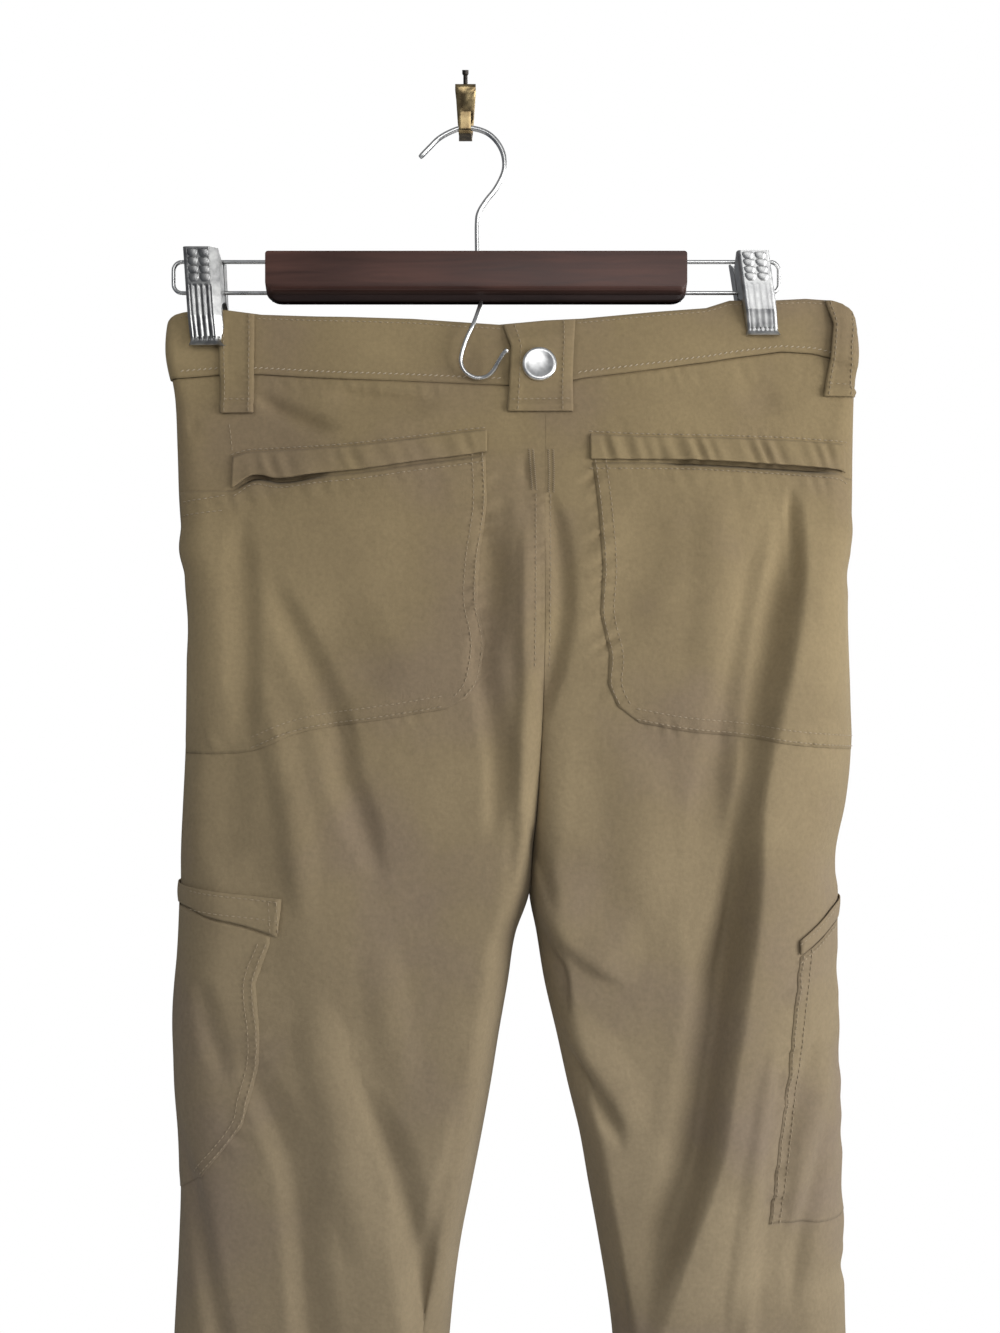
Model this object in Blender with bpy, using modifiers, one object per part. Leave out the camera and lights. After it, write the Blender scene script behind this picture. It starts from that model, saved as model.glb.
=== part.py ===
"""Cargo pants clipped by the waistband to a wooden hanger, which hangs on a brass wall hook.

Every length below is in millimetres and becomes metres when a mesh is made. X runs along the
hanger bar, Z is up, and the wall is the plane Y = 0 with the room at -Y. The back of the garment
faces the room. Left and right are the wearer's own, so the left leg lies at -X.
"""
import math

import bmesh
import bpy
import numpy as np
from mathutils import Matrix, Vector

MM = 0.001
GAP = 0.3             # clearance between pieces that touch
CLOTH = 1.2           # wall of a leg panel: woven cloth with its seam allowances
LAYER = 0.9           # a second layer of cloth sewn on a panel
LIE = 0.4             # clearance between a sewn-on layer and the panel under it
BAND_OUT = 1.0        # how far the waistband stands proud of the panels
BAND_WALL = 2.4       # waistband wall: two layers of cloth and the interlining
LOOP_WALL = 1.4       # folded strip of a belt loop
LOOP_ARCH = 2.5       # how far a belt loop stands off the band
FLAT_ARCH = 0.4       # the same for the loop that a clip presses flat
HEM_Z = -1235.0       # bottom of both legs
HEM_TURN = 30.0       # height of the turned hem
CROTCH_Z = -457.0     # height where the four panels meet
BUTTON_R = 8.5        # waistband button
CAP_R = 10.0          # metal cap on the centre-back loop
CAP_Z = -157.0        # height of the cap and of the button

HANGER_Y = -18.0      # plane of the hanger bar, its wires and its hook
BAR_X = (-114.8, 128.0)
BAR_Z = (-116.5, -89.5)
BAR_DEPTH = 14.0
HOOK_R = 1.5          # top hook wire
LOWER_R = 1.25        # lower hook wire
WIRE_R = 1.15         # side wires that carry the clips
WIRE_Z = (-94.0, -112.0)
WIRE_END = {"left": -169.0, "right": 182.0}
WIRE_SOCKET = 9.0     # how deep each side wire sits in the bar
HOOK_X = 7.2          # top hook's shank
LOWER_X = 9.3         # lower hook's shank
HOOK_SEAT = 12.0      # how deep the top hook sits in the bar
LOWER_SEAT = 8.0      # how deep the lower hook sits in it
PLATE = 1.0           # sheet metal of the clips and the wall hook

# Outline of the garment down its height: the side seams, and the inner edges of the two legs,
# which share the centre seam down to the crotch.
OUTLINE = {
    "z": (-118, -132, -145, -174, -204, -233, -262, -290, -348, -376, -404, -433,
          -457, -478, -506, -535, -563, -591, -620, -648, -704, -780, -900, -1100, -1240),
    "left_side": (-169.5, -171.5, -172, -167.5, -165.7, -164.2, -161.5, -159.3, -158, -158.2, -159.5,
                  -161, -161.4, -162, -164, -165.2, -164, -161.7, -161, -161, -163.7, -166, -167,
                  -168, -168),
    "left_inner": (46, 46, 46, 46, 45.8, 45.3, 45.1, 45, 44, 42.6, 40.8, 38.2,
                   36.8, 29.4, 24.8, 19.7, 15.2, 10.1, 4.4, -1.2, -8, -11, -13, -12, -10),
    "right_inner": (46, 46, 46, 46, 45.8, 45.3, 45.1, 45, 44, 42.6, 40.8, 38.2,
                    36.8, 40.7, 45.3, 52.1, 58.3, 65.1, 70.2, 75.3, 83.7, 86, 86, 84, 82),
    "right_side": (222.5, 225.5, 226.6, 224.8, 223.6, 222.6, 221, 218.7, 219, 219.2, 216,
                   211, 211.3, 211, 211.5, 211.4, 212, 213.6, 213, 214.6, 215.7, 219, 223, 226, 228),
}

# Depth of the same sections: the side seam's own Y, how far each face stands off it at the
# rounded side (edge) and further in (belly), and how wide that rounded side is.
DEPTH = {
    "z": (-118, -155, -200, -260, -320, -400, -461, -560, -715, -900, -1100, -1240),
    "middle": (-18, -19, -21, -25, -29, -33, -35, -36, -37, -36, -35, -35),
    "back_edge": (5, 6, 12, 20, 26, 31, 33, 34, 33, 31, 28, 26),
    "back_belly": (3, 6, 10, 11, 11, 10, 8, 8, 8, 7, 6, 5),
    "front_edge": (5, 6, 10, 15, 19, 23, 25, 26, 27, 26, 24, 23),
    "front_belly": (2, 4, 5, 5.5, 6, 6, 6, 6, 6, 5, 5, 5),
    "side_round": (8, 10, 22, 34, 42, 50, 52, 52, 50, 48, 46, 44),
}

# How far out the centre seam still lies: 1 on the seat, 0 from the crotch down.
SEAM_OUT = {
    "z": (-118, -250, -330, -380, -415, -438, -450, CROTCH_Z, -1240),
    "out": (1.0, 1.0, 0.96, 0.86, 0.68, 0.45, 0.22, 0.0, 0.0),
}
INNER_ROUND = 0.30    # share of a panel's width that rounds in to the inner edge

# Waistband edges across each half, from the side seam (0) to the centre (1).
WAIST_BACK = {
    "across": (0.0, 0.04, 0.15, 0.25, 0.40, 0.48, 0.65, 0.88, 1.0),
    "left_top": (-131, -125.5, -123.5, -126.5, -127.8, -128.2, -129.5, -133, -130.5),
    "left_seam": (-163.5, -163, -161.2, -161.5, -164, -165, -166.5, -168.5, -170),
    "right_top": (-130, -119.5, -117, -118, -118.5, -123, -125.5, -129.5, -130.5),
    "right_seam": (-156, -153.5, -149, -148, -152, -154.5, -159, -164.5, -169),
}
WAIST_FRONT = {
    "across": (0.0, 0.04, 0.15, 0.30, 0.60, 1.0),
    "left_top": (-131, -125.5, -125, -127, -133, -138),
    "left_seam": (-163.5, -163.5, -163.5, -166, -172, -177),
    "right_top": (-130, -119.5, -118, -120, -130, -138),
    "right_seam": (-156, -154, -153, -156, -168, -177),
}

# Guide rows below the waistband seam, each with its height at the inner edge, a quarter of the
# way in and at the side seam. The steps column counts the grid rows down to the next guide.
QUARTER = 0.22
ROWS = (
    # name,     steps, left: inner, quarter, side; right: inner, quarter, side; front inner
    ("waist", 2, None, None, None, None, None, None, None),
    ("welt", 1, -194, -208, -213, -199, -202, -203, -203),
    ("mouth", 6, -208, -223, -231, -213, -217, -220, -222),
    ("patch", 5, -351, -370, -375, -353, -370, -373, -362),
    ("crotch", 1, CROTCH_Z, -454, -447, CROTCH_Z, -468, -454, CROTCH_Z),
    ("cargo", 6, -478, -476, -459, -480, -482, -463, -479),
    ("cargo_end", 9, -609, -609, -609, -615, -615, -615, -612),
    ("hem_turn", 1, *[HEM_Z + HEM_TURN] * 7),
    ("hem", 0, *[HEM_Z] * 7),
)

# Grid columns across a panel, from the side seam (0) to the inner edge (1).
BACK_COLUMNS = (0, 0.03, 0.08, 0.15, 0.25, 0.36, 0.48, 0.60, 0.71, 0.82, 0.91, 0.97, 1)
FRONT_COLUMNS = (0, 0.03, 0.08, 0.15, 0.27, 0.45, 0.65, 0.85, 1)
PATCH_EDGE = 0.82     # inner edge of the seat patches and of the back pocket welts
PATCH_CORNER = 0.08   # how far the patch's lower inner corner is cut back
WELT_START = {"left": 0.10, "right": 0.006}
WELT_WALL = 1.4
CARGO = {
    # back edge of the pocket at its mouth and at its bottom
    "left": (0.24, 0.17),
    "right": (0.165, 0.24),
}
CARGO_FRONT = FRONT_COLUMNS[1:5]
CARGO_WALL = 1.0
CARGO_WELT_WALL = 1.6
FLY_EDGE = 0.85       # stitched edge of the fly placket
FLY_CURVE = 0.06      # how far that edge turns in with each of its last rows
HAND_POCKET = {"top": 0.44, "foot": 0.04, "width": 0.035, "drop": 120.0, "stations": 13}

# Belt loops: their face, how far they arch, and the stations from one edge of the strip to the
# other, each a side and how far across that half it lies.
LOOPS = {
    "loop_centre_back": ("back", LOOP_ARCH, (("left", 0.888), ("left", 0.94), ("left", 1.0),
                                             ("right", 0.95), ("right", 0.905))),
    "loop_back_left": ("back", FLAT_ARCH, (("left", 0.140), ("left", 0.17), ("left", 0.20), ("left", 0.230))),
    "loop_back_right": ("back", LOOP_ARCH, (("right", 0.03), ("right", 0.05), ("right", 0.075), ("right", 0.105))),
    "loop_front_left": ("front", LOOP_ARCH, (("left", 0.52), ("left", 0.55), ("left", 0.58))),
    "loop_front_right": ("front", LOOP_ARCH, (("right", 0.52), ("right", 0.55), ("right", 0.58))),
}
LOOP_BOW = (0.0, 0.55, 1.0, 1.0, 0.6, 0.0)    # share of its arch at even steps down a loop
LOOP_BELOW = {        # how far each loop runs past the waistband's seam
    "loop_centre_back": 18.0, "loop_back_left": 21.0, "loop_back_right": 20.0,
    "loop_front_left": 12.0, "loop_front_right": 12.0,
}
BAND_OVERLAP = 0.18   # buttoned end of the waistband, as a share of the half it covers

# Largest folds of the hanging cloth on the back: three points of its line, its half width, and
# how far it stands out (a trough is negative).
FOLDS = (
    # x0, z0, x1, z1, x2, z2, half_width, height
    (190, -262, 174, -390, 168, -440, 20, -5.0),
    (168, -440, 172, -490, 130, -650, 22, -5.5),
    (200, -400, 192, -520, 170, -680, 18, 2.5),
    (45, -440, 66, -478, 96, -500, 13, 4.0),
    (58, -462, 70, -520, 104, -590, 13, -4.5),
    (-126, -230, -124, -300, -122, -370, 18, -3.5),
    (-95, -320, -66, -400, -52, -500, 22, -3.0),
    (-120, -560, -95, -620, -72, -700, 20, 3.0),
    (-50, -560, -30, -640, -18, -760, 18, -3.0),
    (70, -235, 82, -330, 58, -400, 14, -2.5),
    (16, -235, 20, -340, 30, -430, 14, -2.5),
)


def shade(name, colour, roughness, metallic=0.0):
    """Principled material with one plain colour."""
    material = bpy.data.materials.new(name)
    material.use_nodes = True
    shader = material.node_tree.nodes["Principled BSDF"]
    shader.inputs["Base Color"].default_value = (*colour, 1.0)
    shader.inputs["Roughness"].default_value = roughness
    shader.inputs["Metallic"].default_value = metallic
    return material


def curve(z, heights, values):
    """Smooth interpolation down a table whose heights fall."""
    xs = -np.asarray(heights, float)
    ys = np.asarray(values, float)
    slopes = np.gradient(ys, xs)
    x = min(max(-z, xs[0]), xs[-1])
    i = min(int(np.searchsorted(xs, x, side="right")) - 1, len(xs) - 2)
    span = xs[i + 1] - xs[i]
    t = (x - xs[i]) / span
    start = (1 + 2 * t) * (1 - t) ** 2 * ys[i] + t * (1 - t) ** 2 * span * slopes[i]
    end = t * t * (3 - 2 * t) * ys[i + 1] + t * t * (t - 1) * span * slopes[i + 1]
    return float(start + end)


def ease(t):
    """0 to 1 with level ends."""
    t = min(max(t, 0.0), 1.0)
    return t * t * (3 - 2 * t)


def quarter_round(t):
    """0 to 1 along a quarter of a circle, upright at 0 and level at 1."""
    t = min(max(t, 0.0), 1.0)
    return math.sqrt(1 - (1 - t) ** 2)


def fold_height(x, z):
    """Height of the folds over the back at one place."""
    total = 0.0
    for x0, z0, x1, z1, x2, z2, half_width, height in FOLDS:
        best = (1e9, 0.0)
        for first, ax, az, bx, bz in ((0, x0, z0, x1, z1), (0.5, x1, z1, x2, z2)):
            run = (bx - ax) ** 2 + (bz - az) ** 2
            t = min(max(((x - ax) * (bx - ax) + (z - az) * (bz - az)) / run, 0.0), 1.0)
            away = math.hypot(x - ax - t * (bx - ax), z - az - t * (bz - az))
            best = min(best, (away, first + t / 2))
        away, along = best
        if away < half_width:
            total += height * (1 - (away / half_width) ** 2) ** 2 * math.sin(math.pi * (0.1 + 0.8 * along))
    return total


def limits(side, z):
    """X of the side seam and of the inner edge of one leg."""
    outer = curve(z, OUTLINE["z"], OUTLINE[side + "_side"])
    inner = curve(z, OUTLINE["z"], OUTLINE[side + "_inner"])
    return outer, inner + (-GAP / 2 if side == "left" else GAP / 2)


def depth(column, z):
    return curve(z, DEPTH["z"], DEPTH[column])


def skin(side, a, z):
    """Outer face of the cloth. a is -1 at the inner edge of the back, 0 at the side seam and
    +1 at the inner edge of the front; -0.0 and +0.0 are the two panels' own side edges."""
    across = abs(a)
    outer, inner = limits(side, z)
    face = "front" if math.copysign(1, a) > 0 else "back"
    rise = quarter_round(across * abs(inner - outer) / depth("side_round", z))
    out = float(np.interp(-z, [-height for height in SEAM_OUT["z"]], SEAM_OUT["out"]))
    shut = out + (1 - out) * quarter_round((1 - across) / INNER_ROUND)
    stand = (depth(face + "_edge", z) * rise + depth(face + "_belly", z) * ease(across / 0.6)) * shut
    x = outer + (inner - outer) * across
    if face == "back":
        calm = quarter_round(across / 0.12) * quarter_round((1 - across) / 0.12)
        stand += fold_height(x, z) * calm
        return Vector((x, depth("middle", z) - max(stand, GAP / 2), z))
    return Vector((x, depth("middle", z) + max(stand, GAP / 2), z))


def outward(side, a, z):
    """Unit vector out of the cloth, level, since the garment hangs."""
    if abs(a) == 1 and z <= CROTCH_Z:
        return Vector((1 if side == "left" else -1, 0, 0))
    step = 0.004
    low = max(a - step, -1.0)
    high = min(a + step, 1.0)
    run = skin(side, high, z) - skin(side, low, z)
    turn = 1 if side == "left" else -1
    return Vector((-run.y * turn, run.x * turn, 0)).normalized()


def row_height(side, a, row):
    """Height of a grid row, which follows the guide rows' seams and pocket edges."""
    across = abs(a)
    face = "front" if math.copysign(1, a) > 0 else "back"
    done = 0
    for guide, after in zip(ROWS, ROWS[1:]):
        if row <= done + guide[1]:
            part = (row - done) / guide[1]
            return (1 - part) * guide_height(side, face, across, guide) \
                + part * guide_height(side, face, across, after)
        done += guide[1]
    return HEM_Z


def guide_height(side, face, across, guide):
    if guide[0] == "waist":
        table = WAIST_BACK if face == "back" else WAIST_FRONT
        return float(np.interp(across, table["across"], table[side + "_seam"])) - GAP / 2
    inner, quarter, seam = guide[2:5] if side == "left" else guide[5:8]
    if face == "front":
        return seam + (guide[8] - seam) * ease(across)
    if across < QUARTER:
        return seam + (quarter - seam) * across / QUARTER
    return quarter + (inner - quarter) * (across - QUARTER) / (1 - QUARTER)


def row_of(name):
    """Grid row of a named guide."""
    total = 0
    for guide in ROWS:
        if guide[0] == name:
            return total
        total += guide[1]
    raise KeyError(name)


def panel_columns(face):
    if face == "back":
        return [-c for c in reversed(BACK_COLUMNS)]
    return [float(c) for c in FRONT_COLUMNS]


class Grid:
    """Faceted points of one panel, so that what is sewn on it follows its very facets."""

    def __init__(self, side, face):
        self.columns = panel_columns(face)
        if face == "back":
            self.columns[-1] = -0.0
        rows = range(row_of("hem") + 1)
        self.points = [[None] * len(rows) for _ in self.columns]
        self.normals = [[None] * len(rows) for _ in self.columns]
        for i, a in enumerate(self.columns):
            for j in rows:
                z = row_height(side, a, j)
                self.points[i][j] = skin(side, a, z)
                self.normals[i][j] = outward(side, a, z)

    def at(self, a, row, lift):
        """Point over the facets at column a and row, lifted off them."""
        i = min(max(int(np.searchsorted(self.columns, a, side="right")) - 1, 0), len(self.columns) - 2)
        j = min(int(row), len(self.points[0]) - 2)
        s = (a - self.columns[i]) / (self.columns[i + 1] - self.columns[i])
        t = row - j
        total = Vector((0, 0, 0))
        normal = Vector((0, 0, 0))
        for k, m, share in ((i, j, (1 - s) * (1 - t)), (i + 1, j, s * (1 - t)),
                            (i, j + 1, (1 - s) * t), (i + 1, j + 1, s * t)):
            total += self.points[k][m] * share
            normal += self.normals[k][m] * share
        return total + normal.normalized() * lift


def add_mesh(name, material, bm, smooth=True):
    """Store a bmesh in millimetres as a named object in metres."""
    bmesh.ops.recalc_face_normals(bm, faces=bm.faces)
    bmesh.ops.scale(bm, vec=(MM, MM, MM), verts=bm.verts)
    mesh = bpy.data.meshes.new(name)
    bm.to_mesh(mesh)
    bm.free()
    mesh.materials.append(material)
    if smooth:
        mesh.shade_smooth()
        mesh.set_sharp_from_angle(angle=math.radians(50))
    item = bpy.data.objects.new(name, mesh)
    PARTS.objects.link(item)
    return item


def wall(name, material, outer, inner):
    """Closed wall between two grids of points, outer[i][j] over inner[i][j]."""
    bm = bmesh.new()
    top, under = ([[bm.verts.new(point) for point in column] for column in grid]
                  for grid in (outer, inner))
    wide, tall = len(top), len(top[0])
    for i in range(wide - 1):
        for j in range(tall - 1):
            for sheet in (top, under):
                bm.faces.new((sheet[i][j], sheet[i + 1][j], sheet[i + 1][j + 1]))
                bm.faces.new((sheet[i][j], sheet[i + 1][j + 1], sheet[i][j + 1]))
    rim = [(i, 0) for i in range(wide)] + [(wide - 1, j) for j in range(1, tall)]
    rim += [(i, tall - 1) for i in range(wide - 2, -1, -1)] + [(0, j) for j in range(tall - 2, 0, -1)]
    for (i, j), (k, m) in zip(rim, rim[1:] + rim[:1]):
        bm.faces.new((top[i][j], top[k][m], under[k][m], under[i][j]))
    return add_mesh(name, material, bm)


def sewn_on(name, material, place, columns_of, rows, lift=LIE, thick=LAYER):
    """Layer of cloth that follows the facets under it, over the given columns and rows."""
    outer = []
    inner = []
    for i in range(len(columns_of(rows[0]))):
        outer.append([place(columns_of(row)[i], row, lift + thick) for row in rows])
        inner.append([place(columns_of(row)[i], row, lift) for row in rows])
    return wall(name, material, outer, inner)


def add_panels(cloth, grids):
    for (side, face), grid in grids.items():
        inner = []
        for points, normals in zip(grid.points, grid.normals):
            inner.append([point - normal * CLOTH for point, normal in zip(points, normals)])
        wall(f"panel_{face}_{side}", cloth, grid.points, inner)


def band_point(side, a, drop, lift):
    """Point over the waistband, drop 0 at its top edge and 1 at its seam."""
    face = "front" if math.copysign(1, a) > 0 else "back"
    table = WAIST_BACK if face == "back" else WAIST_FRONT
    top = float(np.interp(abs(a), table["across"], table[side + "_top"]))
    seam = float(np.interp(abs(a), table["across"], table[side + "_seam"])) + GAP / 2
    z = top + (seam - top) * drop
    return skin(side, a, z) + outward(side, a, z) * lift


def add_waistband(cloth):
    """One strip all round, from the front edge on the right leg's side to the buttoned end."""
    right = [float(c) for c in reversed(FRONT_COLUMNS)] + [-c for c in BACK_COLUMNS[1:]]
    left = [-c for c in reversed(BACK_COLUMNS)][1:] + [float(c) for c in FRONT_COLUMNS[1:]]
    stations = [("right", a, 0.0) for a in right] + [("left", a, 0.0) for a in left]
    step_out = BAND_WALL + GAP
    raised = []
    for side, a, _ in stations:
        raised.append((side, a, step_out * ease((a - 0.65) / 0.35) if side == "left" else 0.0))
    raised.append(("right", 1.0 - BAND_OVERLAP / 2, step_out))
    raised.append(("right", 1.0 - BAND_OVERLAP, step_out))
    drops = (0.0, 0.5, 1.0)
    outer = []
    inner = []
    for side, a, lift in raised:
        outer.append([band_point(side, a, drop, BAND_OUT + lift) for drop in drops])
        inner.append([band_point(side, a, drop, BAND_OUT - BAND_WALL + lift) for drop in drops])
    return wall("waistband", cloth, outer, inner)


def add_loop(name, cloth, face, arch, stations):
    """Belt loop: a strip sewn down at the band's top edge and below its seam, arched between."""
    sign = 1 if face == "front" else -1
    table = WAIST_FRONT if face == "front" else WAIST_BACK
    outer = []
    inner = []
    for side, across in stations:
        a = math.copysign(across, sign)
        top = float(np.interp(across, table["across"], table[side + "_top"]))
        seam = float(np.interp(across, table["across"], table[side + "_seam"]))
        low = seam - LOOP_BELOW[name]
        inner_line = []
        outer_line = []
        for share, bow in zip(np.linspace(0, 1, len(LOOP_BOW)), LOOP_BOW):
            z = top - 1 + (low - top) * share
            point = skin(side, a, z)
            normal = outward(side, a, z)
            foot = BAND_OUT if z > seam - 3 else BAND_OUT * 0.4
            lift = foot + 2 * GAP + arch * bow
            inner_line.append(point + normal * lift)
            outer_line.append(point + normal * (lift + LOOP_WALL))
        inner.append(inner_line)
        outer.append(outer_line)
    return wall(name, cloth, outer, inner)


def add_loops(cloth):
    for name, (face, arch, stations) in LOOPS.items():
        add_loop(name, cloth, face, arch, stations)


def between(low, high, columns):
    """Columns of a panel that lie inside a stretch, with the two ends added."""
    return [low] + [c for c in columns if low + 1e-6 < c < high - 1e-6] + [high]


def add_seat(cloth, grids):
    """Double-layer seat patches and the welts of the back pockets above them."""
    mouth = row_of("mouth")
    patch = row_of("patch")
    cut = {patch - 1: PATCH_CORNER / 4, patch: PATCH_CORNER}
    for side, start in WELT_START.items():
        place = grids[side, "back"].at
        columns = between(-PATCH_EDGE, -WELT_START["right"], grids[side, "back"].columns)

        def patch_columns(row, columns=columns):
            edge = columns[0] + cut.get(int(row), 0.0)
            return [edge] + columns[1:]

        rows = [mouth + 0.05] + list(range(mouth + 1, patch + 1))
        sewn_on(f"seat_patch_{side}", cloth, place, patch_columns, rows)
        welt = between(-PATCH_EDGE, -start, grids[side, "back"].columns)
        welt_rows = [mouth - 1, mouth - 0.5, mouth - 0.06]
        sewn_on(f"back_welt_{side}", cloth, place, lambda row, welt=welt: welt, welt_rows, LIE, WELT_WALL)


def round_the_side(grids, side):
    """Place over either panel of a leg, so that a piece can cross the side seam."""
    def place(a, row, lift):
        return grids[side, "back" if a <= 0 else "front"].at(a, row, lift)
    return place


def add_cargo(cloth, grids):
    """Cargo pockets that wrap the side seams, each under a welt that closes its mouth."""
    top = row_of("crotch")
    mouth = row_of("cargo")
    end = row_of("cargo_end")
    front = list(CARGO_FRONT)
    for side, (first, last) in CARGO.items():
        def pocket_columns(row, first=first, last=last):
            edge = first + (last - first) * ((row - mouth) / (end - mouth)) ** 2
            return [-edge, -0.15, -0.08, -0.03, -0.0] + front

        rows = [mouth + 0.08] + list(range(mouth + 1, end)) + [end - 0.1]
        sewn_on(f"cargo_pocket_{side}", cloth, round_the_side(grids, side), pocket_columns, rows,
                2 * LIE, CARGO_WALL)
        welt = [-first, -0.15, -0.08, -0.03, -0.0] + front
        sewn_on(f"cargo_welt_{side}", cloth, round_the_side(grids, side), lambda row, welt=welt: welt,
                [top + 0.05, mouth - 0.08], LIE, CARGO_WELT_WALL)


def add_front(cloth, grids):
    """Fly placket on the left front and the edges of the slanted hand pockets."""
    mouth = row_of("mouth")
    rows = [0.1, 1, 2, mouth, mouth + 1, mouth + 2, mouth + 3, mouth + 4]

    def fly_columns(row):
        return [FLY_EDGE + FLY_CURVE * max(row - mouth - 2, 0), 0.99]

    sewn_on("fly_placket", cloth, grids["left", "front"].at, fly_columns, rows)
    for side in ("left", "right"):
        outer = []
        inner = []
        for share in (0.0, 1.0):
            stations = []
            for step in range(HAND_POCKET["stations"]):
                along = step / (HAND_POCKET["stations"] - 1)
                across = HAND_POCKET["top"] + (HAND_POCKET["foot"] - HAND_POCKET["top"]) * along ** 1.3
                across += HAND_POCKET["width"] * share
                z = row_height(side, HAND_POCKET["top"], 0.25) - HAND_POCKET["drop"] * along
                stations.append((skin(side, across, z), outward(side, across, z)))
            inner.append([point + normal * 3 * GAP for point, normal in stations])
            outer.append([point + normal * (3 * GAP + LAYER) for point, normal in stations])
        wall(f"hand_pocket_edge_{side}", cloth, outer, inner)


def add_hems(cloth, grids):
    """Turned hem inside each leg opening, a closed ring."""
    turn = row_of("hem_turn")
    end = row_of("hem")
    for side in ("left", "right"):
        ring = [(a, "back") for a in grids[side, "back"].columns]
        ring += [(a, "front") for a in grids[side, "front"].columns]
        bm = bmesh.new()
        loops = []
        for lift, row in ((-CLOTH - LIE, turn + 0.2), (-CLOTH - LIE, end), (-CLOTH - LIE - LAYER, end),
                          (-CLOTH - LIE - LAYER, turn + 0.2)):
            loops.append([bm.verts.new(grids[side, face].at(a, row, lift)) for a, face in ring])
        count = len(ring)
        for first, second in zip(loops, loops[1:] + loops[:1]):
            for i in range(count):
                k = (i + 1) % count
                bm.faces.new((first[i], first[k], second[k], second[i]))
        bmesh.ops.triangulate(bm, faces=bm.faces)
        add_mesh(f"hem_{side}", cloth, bm)


def turned(name, material, profile, steps):
    """Solid of revolution about Z: a profile of (radius, height) run from top to bottom."""
    mesh = bpy.data.meshes.new(name)
    points = [(radius * MM, 0, height * MM) for radius, height in profile]
    mesh.from_pydata(points, [(i, i + 1) for i in range(len(points) - 1)], [])
    mesh.materials.append(material)
    item = bpy.data.objects.new(name, mesh)
    PARTS.objects.link(item)
    screw = item.modifiers.new("Screw", "SCREW")
    screw.steps = steps
    screw.render_steps = steps
    screw.use_merge_vertices = True
    screw.merge_threshold = 0.00001
    screw.use_smooth_shade = True
    return item


def stand_on(item, point, normal):
    """Put a turned piece's Z axis along a normal, at a point in millimetres."""
    turn = normal.to_track_quat("Z", "Y").to_matrix().to_4x4()
    item.matrix_world = Matrix.Translation(point * MM) @ turn


def sit_flat(item, side, a, z, reach, lift):
    """Seat a turned piece on the cloth at one place, square to the slope under its whole width."""
    upper = skin(side, a, z + reach)
    lower = skin(side, a, z - reach)
    room = math.copysign(1, a)
    slope = (upper.y - lower.y) / (2 * reach)
    normal = Vector((0, room, -room * slope)).normalized()
    stand_on(item, (upper + lower) / 2 + normal * lift, normal)


def add_fasteners(metal):
    """Domed cap on the centre-back loop and the waistband button."""
    cap = ((0, 2.6), (4.5, 2.4), (7.6, 1.8), (8.0, 1.5), (8.4, 1.9), (9.6, 1.7), (CAP_R, 0.9),
           (CAP_R, 0), (0, 0))
    lift = BAND_OUT + 2 * GAP + LOOP_ARCH + LOOP_WALL + 2 * GAP
    sit_flat(turned("loop_cap", metal, cap, 28), "left", -0.985, CAP_Z, CAP_R / 2, lift)
    disc = ((0, 2.2), (5.2, 2.2), (6.0, 3.0), (7.8, 3.0), (BUTTON_R, 2.2), (BUTTON_R, 0), (0, 0))
    lift = BAND_OUT + BAND_WALL + 3 * GAP
    sit_flat(turned("waist_button", metal, disc, 20), "right", 0.93, CAP_Z, BUTTON_R, lift)


def smooth_path(points, per_span):
    """Points of a smooth curve through the given ones."""
    path = []
    count = len(points)
    for i in range(count - 1):
        p0, p1, p2, p3 = (Vector(points[min(max(k, 0), count - 1)]) for k in (i - 1, i, i + 1, i + 2))
        for step in range(per_span):
            t = step / per_span
            path.append(0.5 * ((2 * p1) + (p2 - p0) * t + (2 * p0 - 5 * p1 + 4 * p2 - p3) * t * t
                               + (3 * p1 - p0 - 3 * p2 + p3) * t ** 3))
    path.append(Vector(points[-1]))
    return path


def wire(name, material, path, radius):
    """Round wire with filled ends along a path."""
    data = bpy.data.curves.new(name, "CURVE")
    data.dimensions = "3D"
    data.bevel_depth = radius * MM
    data.bevel_resolution = 2
    data.use_fill_caps = True
    spline = data.splines.new("POLY")
    spline.points.add(len(path) - 1)
    for point, place in zip(spline.points, path):
        point.co = (*(Vector(place) * MM), 1)
    data.materials.append(material)
    item = bpy.data.objects.new(name, data)
    PARTS.objects.link(item)
    return item


def cutter(name, start, end, radius):
    """Round cutter from start to end."""
    axis = Vector(end) - Vector(start)
    bpy.ops.mesh.primitive_cylinder_add(vertices=16, radius=radius * MM, depth=axis.length * MM)
    item = bpy.context.object
    item.name = name
    item.matrix_world = (Matrix.Translation((Vector(start) + Vector(end)) * 0.5 * MM)
                         @ axis.to_track_quat("Z", "Y").to_matrix().to_4x4())
    for holder in item.users_collection:
        holder.objects.unlink(item)
    CUTTERS.objects.link(item)
    item.hide_render = True
    item.display_type = "WIRE"
    return item


def bore(item, tool):
    """Cut a tool out of an item."""
    cut = item.modifiers.new(tool.name, "BOOLEAN")
    cut.operation = "DIFFERENCE"
    cut.solver = "EXACT"
    cut.object = tool


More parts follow.
